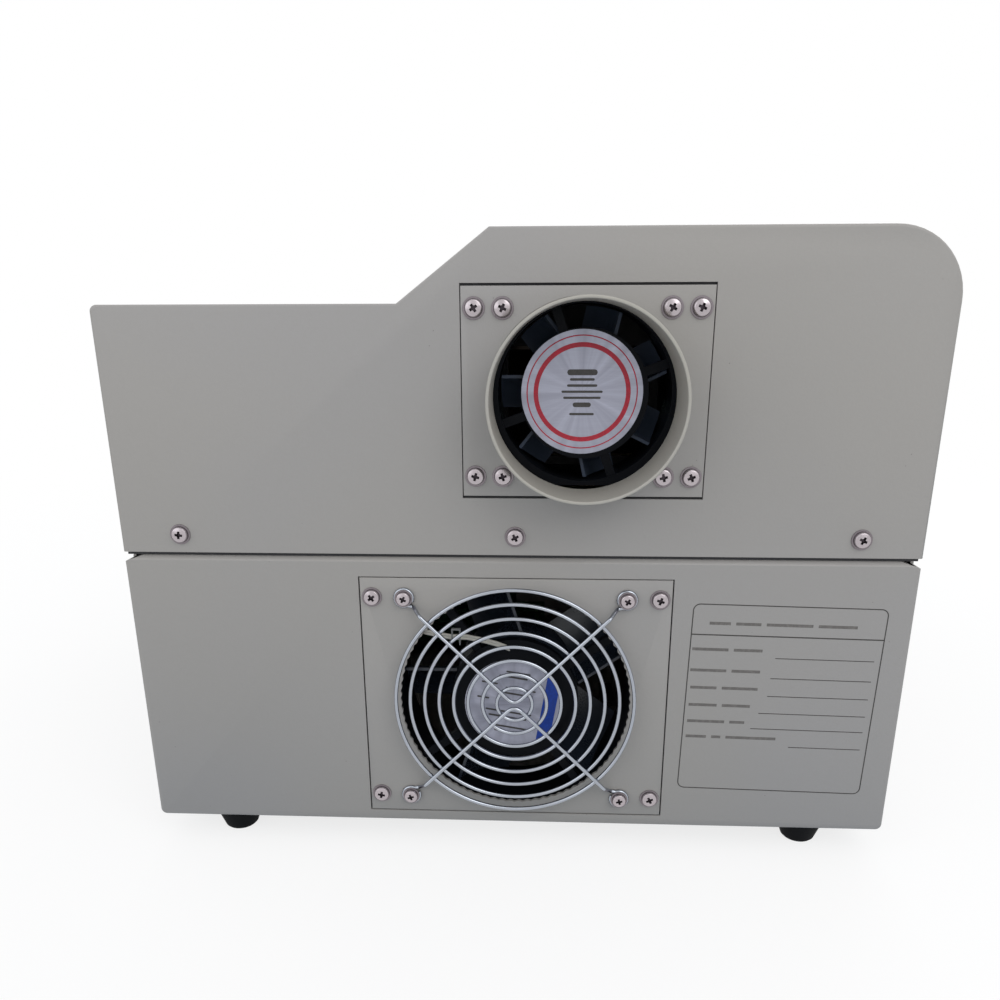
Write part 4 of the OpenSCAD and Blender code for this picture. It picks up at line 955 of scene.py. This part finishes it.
def screw_head(name, radius):
    """A pan head on its flange, with a cross recess; its seat is at z = 0."""
    height = HEAD_HEIGHT
    pan, rim, side = radius * 0.8, height * 0.2, height * 0.42
    stem, below = radius * 0.45, -0.0004
    profile = [(0, below), (stem, below), (stem, 0), (radius * 0.96, 0), (radius, rim * 0.4),
               (radius * 0.985, rim * 0.9), (pan * 1.03, rim), (pan, rim * 1.3)]
    profile += [(pan * (0.8 + 0.2 * math.cos(a)), side + (height - side) * 0.72 * math.sin(a))
                for a in (math.pi / 2 * i / 4 for i in range(5))]
    profile += [(pan * 0.4, height * 0.975), (0, height)]
    head = linked(name, finished_mesh(lathe(profile, 32, Matrix()), name))
    tool = linked(name + "_cut", finished_mesh(cross_cutter(radius), name + "_cut"))
    cut = head.modifiers.new("recess", "BOOLEAN")
    cut.operation, cut.solver, cut.use_self, cut.object = "DIFFERENCE", "EXACT", True, tool
    head.data = smoothed(applied(head, cut), SCREW_SHARP)
    bpy.data.objects.remove(tool)

    def shade_at(out, z):
        """How much painted shade lies in the recess, the pan's foot, on the flange and the slope.
        """
        if out < radius * 0.5 and 0 < z < height * 0.9:
            return 1.0
        if pan * 0.98 < out < pan * 1.08 and rim * 0.8 < z < side:
            return 0.95
        if out >= pan * 1.08:
            return 0.6
        return 0.35 if pan * 0.9 < out <= pan * 0.98 and z > side else 0.0

    # Each face keeps its painted shade in the attribute "sunk".
    sunk = head.data.attributes.new("sunk", "FLOAT", "FACE")
    for item, face in zip(sunk.data, head.data.polygons):
        item.value = shade_at(face.center.xy.length, face.center.z)
    paint(head.data, "screw_steel")
    return head


def screw_places(node):
    """The seat, turn and way out of each screw in a node, with its own slot angle."""
    under, behind, first, step = 0.008, 0.001, 13, 47      # the last two in degrees
    places = []
    for i, (low, high) in enumerate(loose_boxes(node)):
        seat = (low + high) / 2
        if high.z < CASE_LOW.z + under:
            way, seat.z = Vector((0, 0, -1)), low.z + HEAD_HEIGHT
        elif high.y > REAR + behind:
            way, seat.y = Vector((0, 1, 0)), high.y - HEAD_HEIGHT
        elif seat.x > 0:
            way, seat.x = Vector((1, 0, 0)), high.x - HEAD_HEIGHT
        else:
            way, seat.x = Vector((-1, 0, 0)), low.x + HEAD_HEIGHT
        spin = Matrix.Rotation(math.radians(first + step * i), 3, "Z")
        turn = (way.to_track_quat("Z", "Y").to_matrix() @ spin).to_euler()
        places.append((seat, tuple(turn), way))
    return places


class OVEN_OT_fasteners(bpy.types.Operator):
    """Sets pan-head screws with a cross recess in every screw place"""
    bl_idname = "oven.fasteners"
    bl_label = "Fasteners"

    def execute(self, context):
        small, large = screw_head("pan_head", 0.0043), screw_head("flanged_head", 0.0048)
        pattern = scatter_pattern()
        for node, head, length in (("panel_screws", large, 0.004),
                                   ("exhaust_fan_screws", large, 0.0327),
                                   ("cooling_fan_screws", small, 0.0464)):
            seats, turns, ways = zip(*screw_places(node))
            bm = bmesh.new()
            bm.from_mesh(pattern.grow(node + "_heads", point_mesh(node, seats, turns),
                                      "screw_steel", Object=head, Scale=1.0))
            for seat, way in zip(seats, ways):
                self.add_rod(bm, seat, way, length)
            add_piece(node + "_set", finished_mesh(bm, node + "_set", SCREW_SHARP),
                      "screw_steel", replaced=node)
        bpy.data.objects.remove(small)
        bpy.data.objects.remove(large)
        return {"FINISHED"}

    @staticmethod
    def add_rod(bm, seat, way, length):
        """The screw's shank, from inside its head to a tapered end."""
        radius, tip, inside = 0.002, 0.0015, 0.0002
        matrix = Matrix.Translation(seat) @ way.to_track_quat("Z", "Y").to_matrix().to_4x4()
        rod = lathe([(0, -length), (tip, -length), (radius, -length + 0.0006),
                     (radius, -inside), (0, -inside)], 12, matrix)
        mesh = finished_mesh(rod, "rod")
        bm.from_mesh(mesh)
        bpy.data.meshes.remove(mesh)


class OVEN_OT_guard(bpy.types.Operator):
    """Bends the finger guard out of round wire: rings behind two bent arms with loops"""
    bl_idname = "oven.guard"
    bl_label = "Wire guard"

    def execute(self, context):
        sizes = context.scene.oven_sizes
        low, high = box("wire_guard")
        radius = sizes.wire / 2
        hub = Vector((CO_FAN.x, 0, CO_FAN.z))
        arms_y = high.y - radius
        welded = 0.0003              # how far the rings are pressed into the arms
        lift = 0.001                 # the guard sits this much high
        top, dip, bend, smallest = 0.002, -0.0001, 0.005, 0.0085
        paths = []
        for up in (1, -1):
            apex = Vector((0, arms_y, up * top + lift))
            left, right = [self.arm(side, up, apex, radius, lift) for side in (-1, 1)]
            corner = filleted([left[0], Vector((0, arms_y, up * dip + lift)), right[0]], bend, 10)
            paths.append([p + hub for p in left[::-1] + corner[1:-1] + right])
        mesh = ring_pattern().grow(
            "wire_guard_mesh", curve_data("guard_paths", paths), "guard_chrome",
            Rings=sizes.rings, First=smallest, Last=(high.x - low.x) / 2 - radius,
            Place=(hub.x, arms_y - sizes.wire + welded, hub.z + lift), Radius=radius, Sides=12)
        add_piece("guard_wires", mesh, "guard_chrome", replaced="wire_guard")
        return {"FINISHED"}

    @staticmethod
    def arm(side, up, apex, radius, lift):
        """Half an arm from the apex: a knee, a heel on the plate and a loop round the screw."""
        screw, knee, heel_reach, loop_radius = 0.0525, 0.0442, 0.0061, 0.0041
        gap, steps, clear, fillet = 0.35, 20, 0.0001, 0.002
        at = Vector((side * screw, REAR + radius, up * screw))
        inward = Vector((-side, 0, -up)).normalized()
        angle = math.atan2(inward.z, inward.x)
        loop = [at + loop_radius * Vector((math.cos(a), 0, math.sin(a))) for a in
                (angle + side * up * (gap + (TURN - 2 * gap) * i / steps)
                 for i in range(steps + 1))]
        heel = at + inward * heel_reach + Vector((0, clear, 0))
        path = filleted([apex, (side * knee, apex.y, up * knee + lift), heel, loop[0]], fillet)
        return path[1:-1] + loop


class OVEN_OT_labels(bpy.types.Operator):
    """Lays the round foil labels on both fans, with plain rings, a band and bars"""
    bl_idname = "oven.labels"
    bl_label = "Fan labels"

    # Plain bars, in mm from the label's middle: height, half length and half thickness on the
    # upper label; height, start and end on the turned lower label
    UPPER_BARS = ((8.6, 6.6, 1.25), (5.6, 5.4, 0.55), (3.0, 6.6, 0.55), (0.4, 9.0, 0.5),
                  (-2.2, 8.2, 0.5), (-5.2, 4.0, 1.0), (-9.2, 5.4, 0.5))
    LOWER_BARS = ((16.6, -6, 6), (14.0, -9, 5), (9.4, -17, -9), (8.2, -5, 10), (5.4, -6, 9),
                  (1.2, -18, -12), (-4.6, -13, 10), (-7.4, -11, 8), (-12.6, -9, 9),
                  (-15.2, -7, 6))
    LOWER_TURN = math.radians(9.4)

    def execute(self, context):
        sizes = context.scene.oven_sizes
        upper, lower = UPPER_LABEL, LOWER_LABEL
        hub_gap = 0.0004             # from the frame's face to the hub under the label
        tops = []
        for name, foil, at, face, radius in (
                ("extraction_fan_label", "upper_foil", upper, EX_FACE, sizes.ex_label),
                ("cooling_fan_label", "lower_foil", lower, CO_FACE, sizes.co_label)):
            add_flat(name, foil, "black_plastic", sizes.foil,
                     [(face - hub_gap, circle_points(at.x, at.z, radius))])
            tops.append(face - hub_gap + sizes.foil)
        top, low_top = tops

        def turned(points):
            """Points seen from the rear, turned clockwise round the lower label."""
            c, d = math.cos(self.LOWER_TURN), math.sin(self.LOWER_TURN)
            return [(lower.x - u * c - v * d, lower.z - u * d + v * c) for u, v in points]

        rings = [(top, circle_points(upper.x, upper.z, outer),
                  circle_points(upper.x, upper.z, inner))
                 for inner, outer in ((0.0192, 0.0212), (0.0238, 0.0243))]
        bars = []
        for z, half, thick in self.UPPER_BARS:
            x, z, half, thick = upper.x, upper.z + z * MM, half * MM, thick * MM
            bars.append((top, rounded_points(x - half, x + half, z - thick, z + thick,
                                             thick * 0.9, 2)))
        half, round_by = 0.00045, 0.0004
        for v, start, end in self.LOWER_BARS:
            bars.append((low_top, turned(rounded_points(start * MM, end * MM, v * MM - half,
                                                        v * MM + half, round_by, 2))))
        # The band lies between two chords of the lower label
        radius, near, far = sizes.co_label * 0.975, 0.0143, 0.021
        first, last = math.acos(near / radius), math.acos(far / radius)
        arc = [first - (first - last) * i / 12 for i in range(13)]
        edge = [(radius * math.cos(a), radius * math.sin(a)) for a in arc]
        band = [(low_top, turned(edge + [(u, -v) for u, v in reversed(edge)]))]
        for name, ink, shapes in (("extraction_label_rings", "ring_ink", rings),
                                  ("fan_label_bars", "bar_ink", bars),
                                  ("cooling_label_band", "band_ink", band)):
            add_flat(name, ink, "black_plastic", PRINT, shapes)
        return {"FINISHED"}


class OVEN_OT_rating_frame(bpy.types.Operator):
    """Prints the rating frame on the rear: a rounded outline, a rule and blank lines"""
    bl_idname = "oven.rating_frame"
    bl_label = "Rating frame"

    # Shares of the frame's width from the left and of its height from the top
    RULES = ((0.451, 0.269), (0.439, 0.376), (0.433, 0.472), (0.398, 0.566), (0.364, 0.652),
             (0.580, 0.749))
    # Plain bars as captions: height, start and the bars' lengths
    CAPTIONS = ((0.096, 0.09, (0.11, 0.13, 0.24, 0.2)), (0.232, 0.012, (0.19, 0.15)),
                (0.343, 0.012, (0.19, 0.15)), (0.436, 0.02, (0.14, 0.19)),
                (0.530, 0.02, (0.15, 0.15)), (0.620, 0.02, (0.2, 0.08)),
                (0.705, 0.02, (0.11, 0.05, 0.27)))

    def execute(self, context):
        stroke = context.scene.oven_sizes.stroke / 2
        wide, high, corner = 0.0897, 0.0966, 0.0032
        middle = Vector((-0.1274, 0, CASE_LOW.z + 0.0697))
        turn = Matrix.Rotation(math.radians(-1.2), 3, "Y")

        def put(points):
            moved = [middle + turn @ Vector((x, 0, z)) for x, z in points]
            return [(p.x, p.z) for p in moved]

        def line(start, end, down, half):
            """A rule between two shares of the width, counted from the left as seen."""
            z = high * (0.5 - down)
            x0, x1 = wide * (0.5 - end), wide * (0.5 - start)
            return REAR, put([(x0, z - half), (x1, z - half), (x1, z + half), (x0, z + half)])

        def outline(grown):
            x, z = wide / 2 + grown, high / 2 + grown
            return put(rounded_points(-x, x, -z, z, corner + grown))

        rules = [(REAR, outline(stroke), outline(-stroke)), line(0.002, 0.998, 0.156, stroke * 1.2)]
        rules += [line(start, 0.966, down, stroke * 0.75) for start, down in self.RULES]
        captions, half, space = [], 0.00072, 0.028
        for down, start, lengths in self.CAPTIONS:
            for length in lengths:
                captions.append(line(start, start + length, down, half))
                start += length + space
        add_flat("rating_frame_print", "frame_ink", "beige_paint", PRINT, rules)
        add_flat("rating_captions", "caption_ink", "beige_paint", PRINT, captions)
        return {"FINISHED"}


class OVEN_OT_fan_lead(bpy.types.Operator):
    """Lays the cooling fan's flat lead from its frame over a strut to the hub"""
    bl_idname = "oven.fan_lead"
    bl_label = "Fan lead"

    # Along the lead, in mm from the middle of the fan's face
    ROUTE = ((46.5, -3.5, 35.6), (44, -0.6, 34.7), (37, 0.1, 33.4), (31, 0.1, 32.4),
             (23.2, 0.1, 32.3), (15.5, 0.1, 30.9), (8.8, 0, 29), (4, -0.5, 27),
             (1.5, -1.6, 25.4))

    def execute(self, context):
        at = Vector((CO_FAN.x, CO_FACE, CO_FAN.z))
        core, apart, fillet = 0.00074, 0.86, 0.003      # two cores, pressed a little together
        paths = [filleted([at + Vector(p) * MM + Vector((0, 0, side * core * apart))
                           for p in self.ROUTE], fillet, 5) for side in (-1, 1)]
        mesh = wire_pattern().grow("fan_lead", curve_data("lead_paths", paths), "lead_cover",
                                   Radius=core, Sides=10)
        add_piece("fan_lead", mesh, "lead_cover", "module_plastic")
        # A clip bent from strip straddles the lead
        left, right, foot, short_foot, head, strip = 26.1, 30.6, 28.4, 31.4, 36.6, 0.8
        sunk, proud, rounded = 0.0008, 0.001, 0.0002
        outline = [(left, foot), (left, head), (right, head), (right, short_foot),
                   (right - strip, short_foot), (right - strip, head - strip),
                   (left + strip, head - strip), (left + strip, foot)]
        bm = bmesh.new()
        flat_shape(bm, [(at.x + x * MM, at.z + z * MM) for x, z in outline], (),
                   at.y - sunk, at.y + proud)
        round_edges(bm, lambda middle, edge: middle.y > at.y, rounded)
        add_piece("lead_clip", finished_mesh(bm, "lead_clip"), "clip_grey", "black_plastic")
        return {"FINISHED"}


class OVEN_OT_key_marks(bpy.types.Operator):
    """Prints a plain sign on each key: up, down, back, start and stop"""
    bl_idname = "oven.key_marks"
    bl_label = "Key marks"

    def execute(self, context):
        radius, thick, proud = 0.0022, 0.00015, 0.00005
        signs = ((3, 90), (3, -90), (3, 180), (3, 0), (4, 45))     # corners and turn
        for number, (corners, turn) in enumerate(signs, 1):
            node = "key_%d" % number
            low, middle = box(node)[0], centre(node)
            outline = circle_points(0, 0, radius, corners, math.radians(turn))
            add_flat(node + "_mark", "key_ink", "key_plastic", thick,
                     [(low.y - proud, [(middle.x + x, middle.z + z) for x, z in outline])],
                     "button_%d" % number)
        return {"FINISHED"}


class OVEN_OT_heater_coils(bpy.types.Operator):
    """Winds a resistance coil inside each quartz tube"""
    bl_idname = "oven.heater_coils"
    bl_label = "Heater coils"

    def execute(self, context):
        widest, end = 0.01, 0.006    # more than a tube's width; from its end to the coil
        tubes = [b for b in loose_boxes("heater_tubes") if b[1].x - b[0].x < widest]
        starts = [((low.x + high.x) / 2, low.y + end, (low.z + high.z) / 2)
                  for low, high in tubes]
        mesh = coil_pattern().grow(
            "coils", point_mesh("coil_starts", starts), "coil_wire",
            Turns=float(context.scene.oven_sizes.coil_turns),
            Length=tubes[0][1].y - tubes[0][0].y - 2 * end, Coil=0.0031, Radius=0.00055)
        add_piece("heater_coils", mesh, "coil_wire", "stainless")
        return {"FINISHED"}


def area_lamp(name, place, target, size, power, tint=(1, 1, 1)):
    data = bpy.data.lights.new(name, "AREA")
    data.shape = "RECTANGLE"
    data.size, data.size_y = size
    data.energy = power
    data.color = tint
    lamp = linked(name, data)
    lamp.location = place
    lamp.rotation_euler = (Vector(target) - Vector(place)).to_track_quat("-Z", "Y").to_euler()


class OVEN_OT_stage(bpy.types.Operator):
    """Lays the pale floor, hangs the lamps and stands the camera behind the oven"""
    bl_idname = "oven.stage"
    bl_label = "Stage"

    WHITE = (1, 1, 1, 1)

    def execute(self, context):
        scene = context.scene
        bm = bmesh.new()
        bmesh.ops.create_grid(bm, x_segments=8, y_segments=8, size=4)
        floor = linked("floor", finished_mesh(bm, "floor"))
        floor.data.materials.append(self.floor_material())
        self.surroundings(scene)
        rear, front = (0, 0.2, 0.15), (0, -0.2, 0.15)
        area_lamp("key", (-1.0, 1.7, 1.5), rear, (1.4, 1.4), 12)
        area_lamp("fill", (1.3, 1.5, 0.8), rear, (1.6, 1.2), 5, (0.94, 0.97, 1))
        area_lamp("front", (-0.8, -2.0, 1.3), front, (1.8, 1.2), 12)
        data = bpy.data.cameras.new("camera")
        data.sensor_width, data.lens = 36, 30.24
        data.shift_x, data.shift_y = -0.005, 0.10
        data.clip_start = 0.01
        camera = linked("camera", data)
        camera.location = (-0.0124, 0.5911, 0.2544)
        look = Vector((0.0433, -0.9513, -0.3053)).to_track_quat("-Z", "Y").to_matrix()
        roll = Matrix.Rotation(math.radians(-0.13), 3, "Z")
        camera.rotation_euler = (look @ roll).to_euler()
        scene.camera = camera
        scene.view_settings.view_transform = "Standard"
        return {"FINISHED"}

    @staticmethod
    def seen(t):
        """1 for what the camera sees, straight or in a gloss or through glass."""
        straight, gloss, through = [t.node("ShaderNodeLightPath", out="Is %s Ray" % kind)
                                    for kind in ("Camera", "Glossy", "Transmission")]
        return straight + gloss + through

    def floor_material(self):
        """Pale, darker and bluer under the oven, and white to the camera but for shadow."""
        material = bpy.data.materials.new("Pale floor")
        material.use_nodes = True
        t = Tree(material.node_tree)
        t.tree.nodes.clear()
        at = t.node("ShaderNodeTexCoord", out="Object")
        away = t.node("ShaderNodeVectorMath", {"operation": "LENGTH"}, {0: at}, out="Value")
        tone = t.mix(t.ramp(away, 0.25, 0.6), (0.13, 0.21, 0.3, 1), (0.56, 0.57, 0.58, 1))
        pale = t.node("ShaderNodeBsdfDiffuse", None, {"Color": tone})
        white = t.node("ShaderNodeBsdfDiffuse", None, {"Color": self.WHITE})
        glow = t.node("ShaderNodeEmission", None, {"Color": self.WHITE, "Strength": 1.0})
        shown = t.blend(t.ramp(away, 0.35, 1.3, 0.78, 1.0), white, glow)
        t.node("ShaderNodeOutputMaterial", None, {0: t.blend(self.seen(t), pale, shown)})
        return material

    def surroundings(self, scene):
        """Soft light from all round that the camera sees as white."""
        world = bpy.data.worlds.new("studio")
        world.use_nodes = True
        scene.world = world
        t = Tree(world.node_tree)
        t.tree.nodes.clear()
        soft, white = [t.node("ShaderNodeBackground", None, {"Color": colour, "Strength": power})
                       for colour, power in (((0.97, 0.98, 1, 1), 0.82), (self.WHITE, 1.0))]
        t.node("ShaderNodeOutputWorld", None, {0: t.blend(self.seen(t), soft, white)})


class OVEN_PT_sidebar(bpy.types.Panel):
    """Lists the oven's pieces in the sidebar"""
    bl_label = "Reflow oven"
    bl_space_type = "VIEW_3D"
    bl_region_type = "UI"
    bl_category = "Oven"

    def draw(self, context):
        layout = self.layout
        for group in (context.scene.oven_colours, context.scene.oven_sizes):
            column = layout.column()
            for key in group.__annotations__:
                column.prop(group, key)
        for operator in PIECES:
            layout.operator(operator.bl_idname)


PIECES = (OVEN_OT_finishes, OVEN_OT_casings, OVEN_OT_fasteners, OVEN_OT_guard,
          OVEN_OT_labels, OVEN_OT_rating_frame, OVEN_OT_fan_lead, OVEN_OT_key_marks,
          OVEN_OT_heater_coils, OVEN_OT_stage)
CLASSES = (OvenColours, OvenSizes) + PIECES + (OVEN_PT_sidebar,)


def register():
    for cls in CLASSES:
        bpy.utils.register_class(cls)
    bpy.types.Scene.oven_colours = PointerProperty(type=OvenColours)
    bpy.types.Scene.oven_sizes = PointerProperty(type=OvenSizes)


def unregister():
    del bpy.types.Scene.oven_colours
    del bpy.types.Scene.oven_sizes
    for cls in reversed(CLASSES):
        bpy.utils.unregister_class(cls)


def main():
    register()
    for operator in PIECES:
        group, name = operator.bl_idname.split(".")
        getattr(getattr(bpy.ops, group), name)()


if __name__ == "__main__":
    main()
